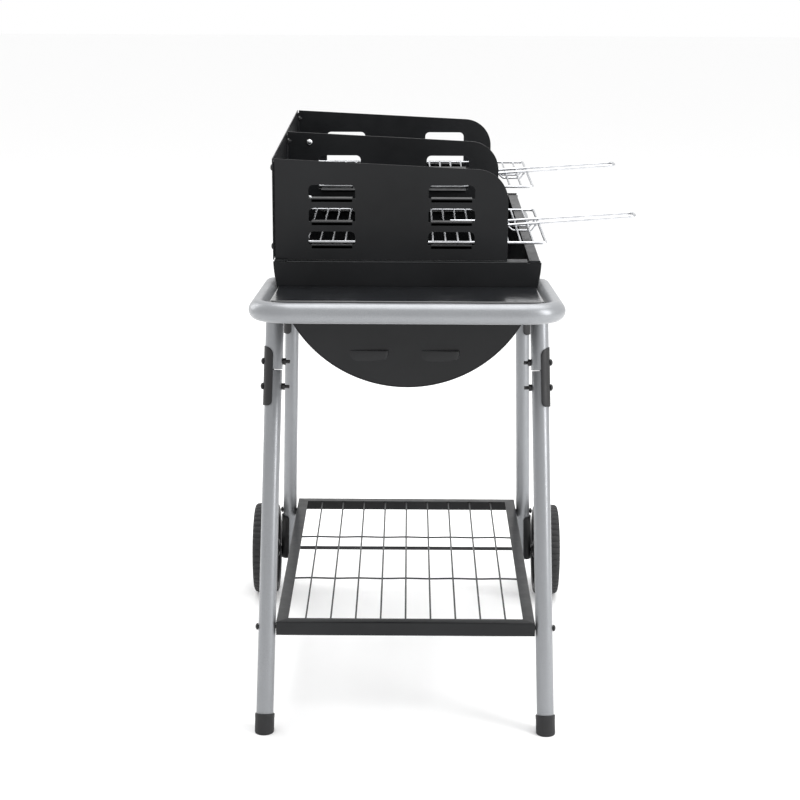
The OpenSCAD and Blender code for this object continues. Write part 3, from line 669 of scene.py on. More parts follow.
def foot_cap(side):
    """A ribbed cap round the leg's end, cut flat on the floor."""
    up, out = leg_axes(front_leg, side)
    across = up.cross(out)
    foot = front_leg(0, side)
    outer, sides = FRONT_LEG_D / 2 + 1.75, 104
    # Rings are (height, above the floor cut or along the leg, radius, ribbed)
    rings = [(0, True, outer - 1.5, False), (0.4, True, outer - 0.5, False), (1.5, True, outer - 0.3, True),
             (20.5, False, outer - 0.3, True), (21.2, False, outer, False), (26.2, False, outer, False),
             (27, False, outer - 0.7, False), (27, False, outer - 1.55, False),
             (24, False, outer - 1.6, False)]
    verts, faces = [], []
    for height, from_floor, radius, ribbed in rings:
        for k in range(sides):
            a = 2 * math.pi * k / sides
            r = radius - (0.35 if ribbed and k % 4 == 0 else 0)
            spoke = (out * math.cos(a) + across * math.sin(a)) * r * MM
            along = height * MM - ((foot + spoke).z / up.z if from_floor else 0)
            verts.append(foot + spoke + up * along)
    for i in range(len(rings) - 1):
        faces += [(i * sides + k, i * sides + (k + 1) % sides, (i + 1) * sides + (k + 1) % sides,
                   (i + 1) * sides + k)
                  for k in range(sides)]
    faces.append(tuple(reversed(range(sides))))
    faces.append(tuple(range((len(rings) - 1) * sides, len(rings) * sides)))
    return crease_shading(new_object("foot_cap", verts, faces), 40)


for side_name, side in SIDES.items():
    stands_for(f"foot_cap_{side_name}", foot_cap(side))


# ---- wheels ----

WHEEL_W = size("wheel_left").x / MM
WHEEL_X = from_origin("wheel_right")[0].x
GROOVES = 45
HUB_LEN = WHEEL_W - 9
AXLE_BORE = size("axle").z / 2 / MM + 0.1


def tyre(name):
    """Tread ring whose outer face is cut by grooves from side to side."""
    right = [(21, WHEEL_R), (WHEEL_W - 8, WHEEL_R - 0.2), (WHEEL_W - 4, WHEEL_R - 0.9),
             (WHEEL_W - 1.6, WHEEL_R - 2.6),
             (WHEEL_W - 0.4, WHEEL_R - 5.5), (WHEEL_W, WHEEL_R - 8.5), (WHEEL_W - 0.8, WHEEL_R - 12),
             (WHEEL_W - 2.5, WHEEL_R - 13.5)]
    profile = [(WHEEL_W - z, r)
               for z, r in right[::-1]] + right[1:] + [(WHEEL_W - 3, WHEEL_R - 15), (3, WHEEL_R - 15)]
    per_groove = 6
    count = GROOVES * per_groove
    verts, faces = [], []
    for k in range(count):
        a = 2 * math.pi * k / count
        depth = (0, 0, 0, 0.7, 2.0, 0.7)[k % per_groove]
        for z, r in profile:
            cut = depth if r > WHEEL_R - 5 else depth * 0.4 if r > WHEEL_R - 6 else 0
            verts.append(((r - cut) * MM * math.cos(a), (r - cut) * MM * math.sin(a), z * MM))
    n = len(profile)
    for k in range(count):
        faces += [(k * n + i, ((k + 1) % count) * n + i, ((k + 1) % count) * n + (i + 1) % n,
                   k * n + (i + 1) % n)
                  for i in range(n)]
    return crease_shading(new_object(name, verts, faces), 28)


def spoke(angle):
    """One moulded spoke: a web with a rib down its middle."""
    inner, outer, middle = 14, WHEEL_R - 14, WHEEL_W / 2
    half_widths, depths = (8, 6.2, 7.5, 11), (9, 7.5, 7, 8)
    verts, faces = [], []
    for i, (half, depth) in enumerate(zip(half_widths, depths)):
        x = inner + (outer - inner) * i / 3
        verts += [(x, -half, middle - depth), (x, half, middle - depth), (x, half, middle + depth * 0.6),
                  (x, half * 0.3, middle + depth * 0.6), (x, half * 0.3, middle + depth),
                  (x, -half * 0.3, middle + depth), (x, -half * 0.3, middle + depth * 0.6),
                  (x, -half, middle + depth * 0.6)]
    for i in range(3):
        faces += [(i * 8 + k, i * 8 + (k + 1) % 8, (i + 1) * 8 + (k + 1) % 8, (i + 1) * 8 + k)
                  for k in range(8)]
    faces += [tuple(range(7, -1, -1)), tuple(range(24, 32))]
    made = new_object("spoke", [Vector(v) * MM for v in verts], faces)
    made.data.transform(Matrix.Rotation(angle, 4, "Z"))
    return bevelled(made, 1.0, 2, 35)


def wheel(name):
    middle = WHEEL_W / 2
    hub = lathe("hub", [(AXLE_BORE, 0.2), (13, 0.2), (15, 1.5), (17.5, middle - 10), (17.5, middle + 6),
                        (15.6, HUB_LEN - 1.5), (14, HUB_LEN), (AXLE_BORE, HUB_LEN), (AXLE_BORE, 0.2)], 48)
    inner = WHEEL_R - 18
    rim = lathe("rim", [(inner + 4, 5), (inner + 1, 5), (inner, 7), (inner - 1.5, middle - 4),
                        (inner - 1.5, middle + 4),
                        (inner, WHEEL_W - 7), (inner + 1, WHEEL_W - 5), (inner + 4, WHEEL_W - 5),
                        (inner + 4, 5)], 96)
    bead = [lathe("bead", [(WHEEL_R - 14.5, z), (WHEEL_R - 13.6, z + 0.9), (WHEEL_R - 14.5, z + 1.8),
                           (WHEEL_R - 16.5, z + 1.8), (WHEEL_R - 16.5, z), (WHEEL_R - 14.5, z)], 96)
            for z in (1.4, WHEEL_W - 3.2)]
    return joined(name, [tyre("tyre"), rim, hub, *bead, *[spoke(2 * math.pi * k / 6) for k in range(6)]])


def hub_cap(name):
    height = size("hub_cap_left").x / MM
    return lathe(name, [(AXLE_BORE, 0), (14.4, 0), (15, 0.6), (14.6, 2.4), (13.2, 3.4), (12.8, height - 2.2),
                        (11.4, height - 0.6), (8.5, height - 0.1), (7.8, height - 0.9), (0, height - 1),
                        (0, 6), (AXLE_BORE, 6), (AXLE_BORE, 0)], 48)


axle_height = WHEEL_R
for side_name, side in SIDES.items():
    out = Vector((side, 0, 0))
    hub_at = ORIGIN + Vector((side * WHEEL_X, AXLE_Y, axle_height)) * MM
    stands_for(f"wheel_{side_name}", placed(wheel("wheel"), hub_at, out, UP))
    cap_at = hub_at + out * (HUB_LEN + 0.1) * MM
    stands_for(f"hub_cap_{side_name}", placed(hub_cap("cap"), cap_at, out, UP))

axle_low, axle_high = from_origin("axle")
AXLE_D = axle_high.z - axle_low.z
stands_for("axle", sweep("axle", [at(axle_low.x, AXLE_Y, WHEEL_R), at(0, AXLE_Y, WHEEL_R),
                                  at(axle_high.x, AXLE_Y, WHEEL_R)], AXLE_D, 32, 0.8))
SPACER_START = (rear_leg(WHEEL_R) - ORIGIN).x / MM + REAR_LEG_D / 2 + BRACKET_WALL + 0.4
spacer_length = WHEEL_X - 0.4 - SPACER_START
fastener_group("axle_spacers", [
    (lambda: ring("spacer", AXLE_D + 0.2, 16, spacer_length),
     ORIGIN + Vector((side * SPACER_START, AXLE_Y, WHEEL_R)) * MM, Vector((side, 0, 0)))
     for side in SIDES.values()])


# ---- bowl ----

RIM_FLANGE = 15
RIM_DROP = math.degrees(math.asin((AXIS_Z - RIM_Z) / BOWL_R))
BACKWARD = Vector((0, -1, 0))


def across_barrel(obj, y):
    """Puts a section drawn in x and height, run along local z, so that it runs towards -y from y."""
    return placed(obj, at(0, y, 0), BACKWARD, Vector((1, 0, 0)))


def bowl_shell():
    half = BOWL_R * math.cos(math.radians(RIM_DROP))
    fold = 1.8
    section = [(-half + RIM_FLANGE, RIM_Z)]
    section += arc(-half + fold, RIM_Z - fold, fold, 90, 180, 4)
    section += arc(0, AXIS_Z, BOWL_R, 180 + RIM_DROP + 1, 360 - RIM_DROP - 1, 96)
    section += arc(half - fold, RIM_Z - fold, fold, 0, 90, 4)
    section += [(half - RIM_FLANGE, RIM_Z)]
    return across_barrel(strip("bowl_shell", section, BOWL_REAR_Y - BOWL_FRONT_Y - 2 * SHEET, SHEET),
                         BOWL_REAR_Y - SHEET)


stands_for("bowl_shell", bowl_shell())

END_R = BOWL_R + 0.1 + SHEET
END_FLANGE = 8
TOP_FOLD = 22
LOUVRE_W, LOUVRE_H, LOUVRE_OUT = 54, 15, 5
LOUVRE_Z = RIM_Z - 126
LOUVRE_X = (-79, 20)


def bent_round(name, profile, start, end, steps):
    """A closed profile of (radius, height) in millimetres, turned about z from one angle to the other."""
    verts, faces, n = [], [], len(profile)
    for i in range(steps + 1):
        a = math.radians(start + (end - start) * i / steps)
        verts += [(r * MM * math.cos(a), r * MM * math.sin(a), z * MM) for r, z in profile]
    for i in range(steps):
        faces += [(i * n + k, i * n + (k + 1) % n, (i + 1) * n + (k + 1) % n, (i + 1) * n + k)
                  for k in range(n)]
    faces += [tuple(range(n)), tuple(range(steps * n, (steps + 1) * n))[::-1]]
    return crease_shading(new_object(name, verts, faces), 40)


def louvre(x):
    """A lanced flap that bulges out of the plate (towards +z), more and more along x. Its top edge is open."""
    columns, rows = 36, 12
    verts, faces = [], []
    for back in (0, SHEET):
        for i in range(columns + 1):
            u = 2 * i / columns - 1
            end = max(0.0, 1 - abs(u) ** 8)
            opening = 0.25 + 0.75 * (u + 1) / 2
            for j in range(rows + 1):
                v = j / rows
                bulge = LOUVRE_OUT * end ** 0.5 * math.sin(v * math.pi / 2) ** 0.8 * opening
                depth = LOUVRE_H * (1 - v) * max(0.05, 1 - abs(u) ** 6) ** 0.35
                verts.append(((x + (u + 1) / 2 * LOUVRE_W) * MM, (LOUVRE_Z - depth) * MM,
                              (bulge - back) * MM))
    row, layer = rows + 1, (columns + 1) * (rows + 1)
    for i in range(columns):
        for j in range(rows):
            quad = (i * row + j, (i + 1) * row + j, (i + 1) * row + j + 1, i * row + j + 1)
            faces += [quad, tuple(k + layer for k in quad[::-1])]
        top = (i * row + rows, (i + 1) * row + rows)
        faces.append((top[0], top[1], top[1] + layer, top[0] + layer))
        bottom = (i * row, (i + 1) * row)
        faces.append((bottom[1], bottom[0], bottom[0] + layer, bottom[1] + layer))
    for j in range(rows):
        faces.append((j, j + 1, j + 1 + layer, j + layer))
        side = columns * row + j
        faces.append((side + 1, side, side + layer, side + 1 + layer))
    return crease_shading(new_object("louvre", verts, faces), 60)


def end_plate(name):
    """Pierced plate with a flanged edge. It lies in the local xy plane, with its outside towards +z."""
    fold = 1.6
    r = END_R - fold
    edge_angle = math.degrees(math.asin((AXIS_Z - RIM_Z + fold) / r))
    outline = arc(0, AXIS_Z, r, 180 + edge_angle, 360 - edge_angle, 96)
    slots = [[(x + 2, LOUVRE_Z - 7), (x + LOUVRE_W - 2, LOUVRE_Z - 7), (x + LOUVRE_W - 2, LOUVRE_Z),
              (x + 2, LOUVRE_Z)]
             for x in LOUVRE_X]
    plate = sheet_outline("plate", [outline] + slots, SHEET, 0.05)
    plate.data.transform(Matrix.Translation((0, 0, -SHEET / 2 * MM)))
    quarter = arc(r, -fold, fold, 90, 0, 4)
    inside = arc(r, -fold, fold - SHEET, 0, 90, 4)
    band_profile = [(r - 0.5, 0)] + quarter + [(END_R, -END_FLANGE), (END_R - SHEET, -END_FLANGE)] + inside
    band_profile += [(r - 0.5, -SHEET)]
    edge = bent_round("band", band_profile, 180 + edge_angle, 360 - edge_angle, 120)
    edge.data.transform(Matrix.Translation((0, AXIS_Z * MM, 0)))
    half = r * math.cos(math.radians(edge_angle))
    fold_section = [(-TOP_FOLD, RIM_Z)] + arc(-fold, RIM_Z - fold, fold, 90, 0, 4) + [(0, RIM_Z - fold - 0.5)]
    lip = strip("lip", fold_section, 2 * (BOWL_R - RIM_FLANGE - 3), -SHEET)
    lip.data.transform(axes_along(Vector((-1, 0, 0)), Vector((0, 0, 1))).to_4x4())
    lip.data.transform(Matrix.Translation(((BOWL_R - RIM_FLANGE - 3) * MM, 0, 0)))
    corner_fill = [strip("corner", [(0, 0), (half - BOWL_R + RIM_FLANGE + 3, 0)], 1.7, SHEET)
                   for _ in range(2)]
    for piece, x in zip(corner_fill, (-half, BOWL_R - RIM_FLANGE - 3)):
        piece.data.transform(Matrix.Rotation(-math.pi / 2, 4, "X"))
        piece.data.transform(Matrix.Translation((x * MM, RIM_Z * MM, -SHEET * MM)))
    return joined(name, [plate, edge, lip, *corner_fill, *[louvre(x) for x in LOUVRE_X]])


front_end = placed(end_plate("front_end"), at(0, BOWL_FRONT_Y, 0), BACKWARD, Vector((1, 0, 0)))
stands_for("bowl_front_end", front_end)
rear_end = placed(end_plate("rear_end"), at(0, BOWL_REAR_Y, 0), -BACKWARD, Vector((-1, 0, 0)))
stands_for("bowl_rear_end", rear_end)


def barrel_point(angle, y, extra=0.0):
    """A point on the barrel's skin. The angle, in degrees, runs from the +X rim down under the barrel."""
    a = math.radians(angle)
    out = Vector((math.cos(a), 0, -math.sin(a)))
    return at(0, y, AXIS_Z) + out * (BOWL_R + extra) * MM, out


rivets = []
for y in (BOWL_FRONT_Y + 4.6, BOWL_REAR_Y - 4.6):
    for angle in (18, 62, 118, 162):
        position, out = barrel_point(angle, y, -SHEET - 0.15)
        rivets.append((lambda: dome_bolt("rivet", 6.4, 1.8, 4, 2 * SHEET + 0.2, 0.5), position, -out))
fastener_group("bowl_rivets", rivets)

MOUNT_Z = 580
MOUNT_CLEAR = 19.2


def bowl_mounts():
    """Where the bowl's bolts cross the upper frames: point, outward direction and gap to the bowl."""
    for side in SIDES.values():
        for leg in (front_leg, rear_leg):
            point = leg(MOUNT_Z, side)
            out = Vector((point.x - ORIGIN.x, 0, point.z - AXIS_Z * MM))
            gap = out.length / MM - BOWL_R - FRAME_D / 2
            yield point, out.normalized(), gap


fastener_group("bowl_mount_bolts", [
    (lambda: dome_bolt("bolt", 10, 3, 5.6, FRAME_D / 2 + gap + SHEET - 3.8),
     p - out * (FRAME_D / 2 + gap + SHEET + 0.2) * MM, -out) for p, out, gap in bowl_mounts()])
fastener_group("bowl_mount_nuts", [
    (lambda: hex_nut("nut", 9, 4.5, 5.7), p - out * 10.2 * MM, out) for p, out, gap in bowl_mounts()])
fastener_group("bowl_spacers", [
    (lambda: ring("spacer", 6, 11, FRAME_D / 2 + gap - 0.2 - MOUNT_CLEAR),
     p - out * (FRAME_D / 2 + gap - 0.2) * MM, out)
    for p, out, gap in bowl_mounts()])


def straight(a, b, diameter, sides=12, end_round=0.4):
    return sweep("bar", [a, (a + b) / 2, b], diameter, sides, end_round)


def charcoal_grate():
    z = centre("charcoal_grate").z / MM
    half = math.sqrt((BOWL_R - SHEET) ** 2 - (AXIS_Z - z) ** 2) - 4
    first, last, bars = BOWL_FRONT_Y + 12, BOWL_REAR_Y - 12, 19
    corners = [at(0, first, z), at(-half, first, z), at(-half, last, z), at(half, last, z),
               at(half, first, z),
               at(0, first, z)]
    wires = [sweep("frame", rounded_path(corners, [3] * 4, 15), 5, 14)]
    for k in range(1, bars + 1):
        y = first + k * (last - first) / (bars + 1)
        wires.append(straight(at(-half, y, z), at(half, y, z), 4))
    return joined("charcoal_grate", wires)


stands_for("charcoal_grate", charcoal_grate())


# ---- side shelf ----

RAIL_ANGLE = math.atan(RAIL_FALL)
TRAY_HALF = (front_leg(FRONT_KNEE_Z) - ORIGIN).x / MM - FRAME_D / 2 - 0.6
TRAY_FRONT = 34
TRAY_CORNER = 8
TRAY_BACK = BOWL_FRONT_Y - HANDLE_Y - 3
TRAY_TOP = 12
TRAY_EDGE = 14


def on_side_rails(obj):
    """Moves a piece drawn in the rails' sloping plane, from the handle rail's middle, into place."""
    slope = Matrix.Translation(at(0, HANDLE_Y, HANDLE_Z)) @ Matrix.Rotation(-RAIL_ANGLE, 4, "X")
    obj.data.transform(slope)
    return obj


def folded_tray(name, low, high, sheet, fold):
    """A tray turned upside down: a flat top with its four edges folded down and rounded front corners."""
    (x0, y0, z0), (x1, y1, z1) = low, high

    def outline(inset):
        r = max(TRAY_CORNER - inset, 1)
        loop = arc(x0 + inset + r, y0 + inset + r, r, 180, 270, 8)
        loop += arc(x1 - inset - r, y0 + inset + r, r, 270, 360, 8)
        loop += arc(x1 - inset - 1, y1 - inset - 1, 1, 0, 90, 3)
        return loop + arc(x0 + inset + 1, y1 - inset - 1, 1, 90, 180, 3)

    turn, tight = [math.pi / 2 * k / 5 for k in range(6)], fold - sheet
    bend = [(fold * (1 - math.cos(a)), z1 - fold * (1 - math.sin(a))) for a in turn]
    inner = [(fold - tight * math.cos(a), z1 - fold + tight * math.sin(a)) for a in turn]
    levels = [(0, z0)] + bend
    under = inner[::-1] + [(sheet, z0)]
    rings = [[(x, y, z) for x, y in outline(inset)] for inset, z in levels + under]
    n = len(rings[0])
    verts = [Vector(p) * MM for loop in rings for p in loop]
    faces = [(i * n + k, i * n + (k + 1) % n, (i + 1) * n + (k + 1) % n, (i + 1) * n + k)
             for i in range(len(rings) - 1) if i != len(levels) - 1 for k in range(n)]
    last, top, beneath = (len(rings) - 1) * n, (len(levels) - 1) * n, len(levels) * n
    faces += [(last + k, last + (k + 1) % n, (k + 1) % n, k) for k in range(n)]
    faces += [tuple(top + k for k in range(n)), tuple(beneath + k for k in reversed(range(n)))]
    return crease_shading(new_object(name, verts, faces), 35)


tray = folded_tray("side_shelf", (-TRAY_HALF, TRAY_FRONT, TRAY_TOP - TRAY_EDGE),
                   (TRAY_HALF, TRAY_BACK, TRAY_TOP),
                   SHEET, 2.6)
stands_for("side_shelf", on_side_rails(tray))
tray_screws = []
for side in (-1, 1):
    for y in (TRAY_FRONT + 40, TRAY_BACK - 40):
        screw = dome_bolt("screw", 8, 2.5, 4, SHEET + 0.5, 0.5)
        place = Vector((side * (TRAY_HALF - SHEET - 0.1), y, 0.5)) * MM
        tray_screws.append(placed(screw, place, Vector((-side, 0, 0)), UP))
stands_for("side_shelf_screws", on_side_rails(joined("screws", tray_screws)))


# ---- lower shelf ----

shelf_low, shelf_high = from_origin("lower_shelf_frame")
ANGLE_W, ANGLE_T = 17, 1.5


def angle_rail(a, b, inward):
    """Angle steel from corner to corner, with its flange inwards at the top and both ends mitred."""
    along, height = (b - a).normalized(), (shelf_high.z - shelf_low.z)
    section = [(0, -height)] + [(2 - 2 * math.cos(t), -2 + 2 * math.sin(t))
                                for t in (math.pi / 8 * k for k in range(5))]
    section += [(ANGLE_W, 0), (ANGLE_W, -ANGLE_T)]
    section += [(2 - 0.5 * math.cos(t), -2 + 0.5 * math.sin(t))
                for t in (math.pi / 8 * k for k in range(4, -1, -1))]
    section += [(ANGLE_T, -height)]
    n = len(section)
    verts = [p + (inward * d + UP * h + sign * along * d) * MM for p, sign in ((a, 1), (b, -1))
             for d, h in section]
    faces = [(k, (k + 1) % n, n + (k + 1) % n, n + k) for k in range(n)]
    faces += [tuple(range(n)), tuple(range(n, 2 * n))[::-1]]
    return crease_shading(new_object("rail", verts, faces), 30)


def lower_shelf_frame():
    lo, hi = shelf_low, shelf_high
    corners = [at(lo.x, lo.y, hi.z), at(hi.x, lo.y, hi.z), at(hi.x, hi.y, hi.z), at(lo.x, hi.y, hi.z)]
    inwards = [Vector((0, 1, 0)), Vector((-1, 0, 0)), Vector((0, -1, 0)), Vector((1, 0, 0))]
    rails = [angle_rail(corners[k], corners[(k + 1) % 4], inwards[k]) for k in range(4)]
    return joined("lower_shelf_frame", rails)


SHELF_WIRE = 3
SHELF_PITCH = 36.5


def lower_shelf_wires():
    """Nine long wires, and two cross wires that weave over and under them."""
    z = shelf_high.z - ANGLE_T - SHELF_WIRE / 2 - 0.1
    first, last = shelf_low.y + 3, shelf_high.y - 3
    columns = [k * SHELF_PITCH for k in range(-4, 5)]
    wires = [straight(at(x, first, z), at(x, last, z), SHELF_WIRE - 0.3, 10) for x in columns]
    for share in (1 / 3, 2 / 3):
        y = shelf_low.y + (shelf_high.y - shelf_low.y) * share
        path = []
        for k in range(-40, 41):
            x = k / 40 * (shelf_high.x - 3)
            weave = 0.35 * math.cos(math.pi * x / SHELF_PITCH)
            path.append(at(x, y, z - 0.8 + weave))
        wires.append(sweep("cross", path, SHELF_WIRE - 0.3, 10, 0.4))
    return joined("lower_shelf_wires", wires)


stands_for("lower_shelf_frame", lower_shelf_frame())
stands_for("lower_shelf_wires", lower_shelf_wires())
shelf_bolts, shelf_nuts = [], []
for side in SIDES.values():
    out = Vector((side, 0, 0))
    for leg, leg_d in ((front_leg, FRONT_LEG_D), (rear_leg, REAR_LEG_D)):
        middle = leg(shelf_high.z - 10, side)
        shelf_bolts.append((lambda d=leg_d: dome_bolt("bolt", 10, 4, 5.6, d + 12),
                            middle + out * (leg_d / 2 + 0.5) * MM,
                            out))
        inside = Vector((ORIGIN.x, middle.y, middle.z)) + out * (shelf_high.x - ANGLE_T - 0.1) * MM
        shelf_nuts.append((lambda: hex_nut("nut", 9, 4.5, 5.7), inside, -out))
fastener_group("lower_shelf_bolts", shelf_bolts)
fastener_group("lower_shelf_nuts", shelf_nuts)


# ---- windshield ----

back_low, back_high = from_origin("windshield_back")
SHIELD_Z = RIM_Z + 0.3
SHIELD_TOP = back_high.z
BACK_X = back_low.x
PANEL_X = BACK_X + SHEET
SHIELD_FRONT_X = from_origin("windshield_front_panel")[1].x
SHIELD_FALL = 0.048
SHIELD_CORNER = 44
FRONT_PANEL_Y = BOWL_FRONT_Y + 8
MIDDLE_Y = (BOWL_FRONT_Y + BOWL_REAR_Y) / 2 + 4
REAR_PANEL_Y = BOWL_REAR_Y - 9
LEDGES = [RIM_Z + 21.5 + 32.2 * k for k in range(3)]
WINDOW_X = (-136, 28.5)
WINDOW_W, WINDOW_H, WINDOW_R = 64, 18.5, 7
TAB_W, TAB_D = 56, 15
FLANGE_W = 14
HOOK_Y = (BOWL_FRONT_Y + 130, BOWL_REAR_Y - 130)
HOOK_W, HOOK_H = 20, 12


def panel_outline():
    fall = math.atan(SHIELD_FALL)
    cx = SHIELD_FRONT_X - SHIELD_CORNER
    cz = SHIELD_TOP - SHIELD_FALL * (cx - PANEL_X) - SHIELD_CORNER / math.cos(fall)
    corner = arc(cx, cz, SHIELD_CORNER, 0, 90 - math.degrees(fall), 24)
    return [(PANEL_X + 1.5, SHIELD_Z), (SHIELD_FRONT_X, SHIELD_Z)] + corner + [(PANEL_X + 1.5, SHIELD_TOP)]


def window_outline(x, z):
    right, top = x + WINDOW_W, z + WINDOW_H
    corners = arc(right - WINDOW_R, top - WINDOW_R, WINDOW_R, 0, 90, 6)
    corners += arc(x + WINDOW_R, top - WINDOW_R, WINDOW_R, 90, 180, 6)
    return [(x, z), (right, z)] + corners


def ledge(x, z, toward):
    """The tab pushed out of a window and folded level, towards +y or -y."""
    fold = 1.5
    section = [(0, z - 5), (0, z - fold)] + arc(fold, z - fold, fold, 180, 90, 4) + [(TAB_D, z)]
    tab = strip("ledge", section, TAB_W, -SHEET)
    start = x + (WINDOW_W - TAB_W) / 2
    if toward > 0:
        matrix = Matrix(((0, 0, 1, start * MM), (1, 0, 0, 0), (0, 1, 0, 0), (0, 0, 0, 1)))
    else:
        matrix = Matrix(((0, 0, -1, (start + TAB_W) * MM), (-1, 0, 0, SHEET * MM), (0, 1, 0, 0),
                         (0, 0, 0, 1)))
    tab.data.transform(matrix)
    return tab


def partition_sheet(y, toward):
    """A pierced panel whose ledges and back flange are folded to one side. It fills y to y + SHEET."""
    windows = [window_outline(x, z) for x in WINDOW_X for z in LEDGES]
    plate = sheet_outline("plate", [panel_outline()] + windows, SHEET, 0.15)
    plate.data.transform(Matrix(((1, 0, 0, 0), (0, 0, -1, SHEET / 2 * MM), (0, 1, 0, 0), (0, 0, 0, 1))))
    fold = 1.6
    section = [(PANEL_X, FLANGE_W)] + arc(PANEL_X + fold, fold, fold, 180, 270, 4) + [(PANEL_X + 2.2, 0)]
    flange = strip("flange", section, SHIELD_TOP - SHIELD_Z - 8, SHEET)
    if toward < 0:
        flange.data.transform(Matrix(((1, 0, 0, 0), (0, -1, 0, SHEET * MM), (0, 0, 1, 0), (0, 0, 0, 1))))
        crease_shading(flange, 40)
    flange.data.transform(Matrix.Translation((0, 0, (SHIELD_Z + 4) * MM)))
    tabs = [ledge(x, z, toward) for x in WINDOW_X for z in LEDGES]
    made = joined("panel", [plate, flange, *tabs])
    made.data.transform(Matrix.Translation(at(0, y, 0)))
    return made


def windshield_back():
    first, last = BOWL_FRONT_Y + 7, BOWL_REAR_Y - 7
    outline = [(first, SHIELD_Z)]
    for y in HOOK_Y:
        outline += [(y - HOOK_W / 2, SHIELD_Z), (y - HOOK_W / 2 + 2, RIM_Z - HOOK_H),
                    (y + HOOK_W / 2 - 2, RIM_Z - HOOK_H),
                    (y + HOOK_W / 2, SHIELD_Z)]
    outline += [(last, SHIELD_Z), (last, SHIELD_TOP), (first, SHIELD_TOP)]
    sheet = sheet_outline("back", [outline], SHEET, 0.15)
    sheet.data.transform(Matrix(((0, 0, 1, (BACK_X + SHEET / 2) * MM), (1, 0, 0, 0), (0, 1, 0, 0),
                                 (0, 0, 0, 1))))
    sheet.data.transform(Matrix.Translation(ORIGIN))
    return sheet


stands_for("windshield_back", windshield_back())
stands_for("windshield_front_panel", partition_sheet(FRONT_PANEL_Y, 1))
stands_for("windshield_middle_front_sheet", partition_sheet(MIDDLE_Y, -1))
stands_for("windshield_middle_rear_sheet", partition_sheet(MIDDLE_Y + SHEET, 1))
stands_for("windshield_rear_panel", partition_sheet(REAR_PANEL_Y, -1))

flange_y = (FRONT_PANEL_Y + FLANGE_W / 2 + 1, MIDDLE_Y - FLANGE_W / 2 - 0.8,
            MIDDLE_Y + FLANGE_W / 2 + 2, REAR_PANEL_Y - FLANGE_W / 2 + 0.2)
back_out, back_in = Vector((-1, 0, 0)), Vector((1, 0, 0))
back_bolts = [(y, RIM_Z + rise) for y in flange_y for rise in (18, 127)]
fastener_group("windshield_bolts", [
    (lambda: dome_bolt("bolt", 8.5, 2.8, 4.2, 2 * SHEET + 6, 4), at(BACK_X - 0.05, y, z), back_out)
    for y, z in back_bolts])
fastener_group("windshield_nuts", [
    (lambda: hex_nut("nut", 7, 3, 4.3), at(BACK_X + 2 * SHEET + 0.05, y, z), back_in) for y, z in back_bolts])
screws = []
for rise in (38.5, 124.5):
    point = (-150, RIM_Z + rise)
    screws.append((lambda: dome_bolt("screw", 9, 2.8, 4.2, 2 * SHEET + 5, 3),
                   at(point[0], MIDDLE_Y - 0.05, point[1]),
                   BACKWARD))
    screws.append((lambda: hex_nut("nut", 7, 3, 4), at(point[0], MIDDLE_Y + 2 * SHEET + 0.05, point[1]),
                   -BACKWARD))
fastener_group("partition_screws", screws)


# ---- wire grids and their hairpin handles ----

GRID_WIRE, ROD_WIRE, BRACE_WIRE = 4, 3, 3
ROD_BAYS = 21
PIN_HALF, PIN_TIP_HALF = 19, 15
PIN_START_X, PIN_BEND_X, PIN_RISE = 62, 138, 13.5


def cooking_grid(node):
    low, high = from_origin(node)
    z = (low.z + high.z) / 2
    half = GRID_WIRE / 2
    x0, x1, y0, y1 = low.x + half, high.x - half, low.y + half, high.y - half
    corners = [at(0, y0, z), at(x0, y0, z), at(x0, y1, z), at(x1, y1, z), at(x1, y0, z), at(0, y0, z)]
    wires = [sweep("frame", rounded_path(corners, [6] * 4, 8), GRID_WIRE, 20)]
    for k in range(1, ROD_BAYS):
        x = x0 + k * (x1 - x0) / ROD_BAYS
        wires.append(straight(at(x, y0, z), at(x, y1, z), ROD_WIRE, 14))
    return joined(node, wires)


def grid_handle(node, grid):
    low, high = from_origin(grid)
    y, z = (low.y + high.y) / 2, (low.z + high.z) / 2
    front_x = high.x - GRID_WIRE / 2
    tip_x = from_origin(node)[1].x - GRID_WIRE / 2
    pin_z = z + (ROD_WIRE + GRID_WIRE) / 2 - 0.15

    def pin(x, side, height):
        t = max(0.0, (x - PIN_BEND_X) / (tip_x - PIN_BEND_X))
        return at(x, y + side * (PIN_HALF + (PIN_TIP_HALF - PIN_HALF) * t), height + PIN_RISE * t)

    points = [pin(PIN_START_X, -1, pin_z), pin(PIN_BEND_X, -1, pin_z), pin(tip_x, -1, pin_z),
              pin(tip_x, 1, pin_z),
              pin(PIN_BEND_X, 1, pin_z), pin(PIN_START_X, 1, pin_z)]
    tip_bend = PIN_TIP_HALF - 4
    wires = [sweep("pin", rounded_path(points, [60, tip_bend, tip_bend, 60], 8), GRID_WIRE, 20, 0.6)]
    brace_z = z - (GRID_WIRE + BRACE_WIRE) / 2 - 0.4
    for side in (-1, 1):
        xs = (front_x - 48, front_x - 40, front_x - 12, front_x - 5)
        low_points = [at(x, y, 0) + (pin(x, side, 0) - at(x, y, 0)) * Vector((1, 1, 0)) for x in xs[1:3]]
        low_points = [Vector((p.x, p.y, brace_z * MM)) for p in low_points]
        path = rounded_path([pin(xs[0], side, pin_z), *low_points, pin(xs[3], side, pin_z)], [4, 4], 12)
        wires.append(sweep("brace", path, BRACE_WIRE, 14, 0.4))
    return joined(node, wires)


for which in ("front", "rear"):
    stands_for(f"{which}_grid", cooking_grid(f"{which}_grid"))
    stands_for(f"{which}_grid_handle", grid_handle(f"{which}_grid_handle", f"{which}_grid"))


# ---- camera, light and stage ----

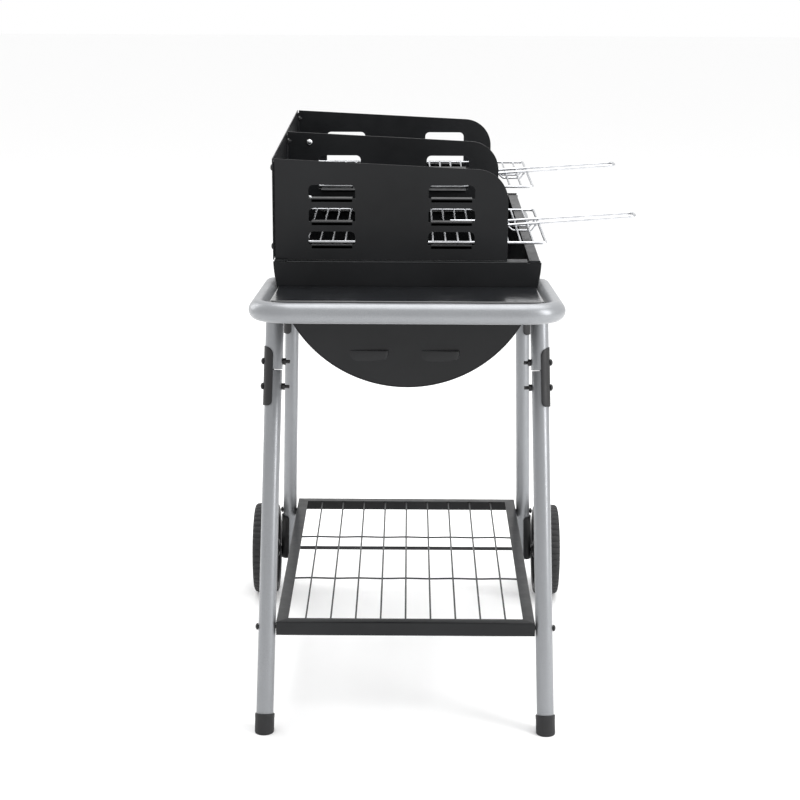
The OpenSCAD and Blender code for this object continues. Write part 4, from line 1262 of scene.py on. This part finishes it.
def make_camera():
    pitch, yaw, roll = math.radians(14.7), math.radians(-0.25), math.radians(0.24)
    forward = Vector((math.sin(yaw) * math.cos(pitch), math.cos(yaw) * math.cos(pitch), -math.sin(pitch)))
    right = Vector((math.cos(yaw), -math.sin(yaw), 0))
    up = right.cross(forward)
    right, up = right * math.cos(roll) + up * math.sin(roll), up * math.cos(roll) - right * math.sin(roll)
    data = bpy.data.cameras.new("camera")
    data.lens = 86.85
    data.sensor_width = 36
    camera = bpy.data.objects.new("camera", data)
    rotation = Matrix((right, up, -forward)).transposed().to_4x4()
    camera.matrix_world = Matrix.Translation(at(2.1, -2593, 1180)) @ rotation
    bpy.context.scene.collection.objects.link(camera)
    bpy.context.scene.camera = camera


def soft_box(name, position, target, width, height, power, colour=(1, 1, 1)):
    data = bpy.data.lights.new(name, "AREA")
    data.shape = "RECTANGLE"
    data.size, data.size_y = width, height
    data.energy = power
    data.color = colour
    light = bpy.data.objects.new(name, data)
    light.location = position
    light.rotation_euler = (Vector(target) - Vector(position)).to_track_quat("-Z", "Y").to_euler()
    bpy.context.scene.collection.objects.link(light)


def make_stage():
    half = 14.0
    floor = new_object("floor", [(-half, -half, 0), (half, -half, 0), (half, half, 0), (-half, half, 0)],
                       [(0, 1, 2, 3)], False)
    material, nodes, links, principled = shader("floor", Roughness=0.9, Specular_IOR_Level=0.1)
    principled.inputs["Base Color"].default_value = (0.97, 0.97, 0.97, 1)
    floor.data.materials.append(material)
    world = bpy.data.worlds.new("studio")
    bpy.context.scene.world = world
    world.use_nodes = True
    world.node_tree.nodes["Background"].inputs["Color"].default_value = (1, 1, 1, 1)
    world.node_tree.nodes["Background"].inputs["Strength"].default_value = 1.0


make_camera()
bpy.context.scene.view_settings.view_transform = "Standard"
make_stage()
soft_box("overhead", (0.3, 0.2, 2.9), (0, 0, 0.4), 2.6, 2.6, 60)
soft_box("key_right", (2.6, -1.4, 1.6), (0, 0, 0.5), 0.9, 2.2, 45)
soft_box("rim_left", (-2.4, 1.6, 1.5), (0, 0.2, 0.5), 1.2, 2.0, 20)
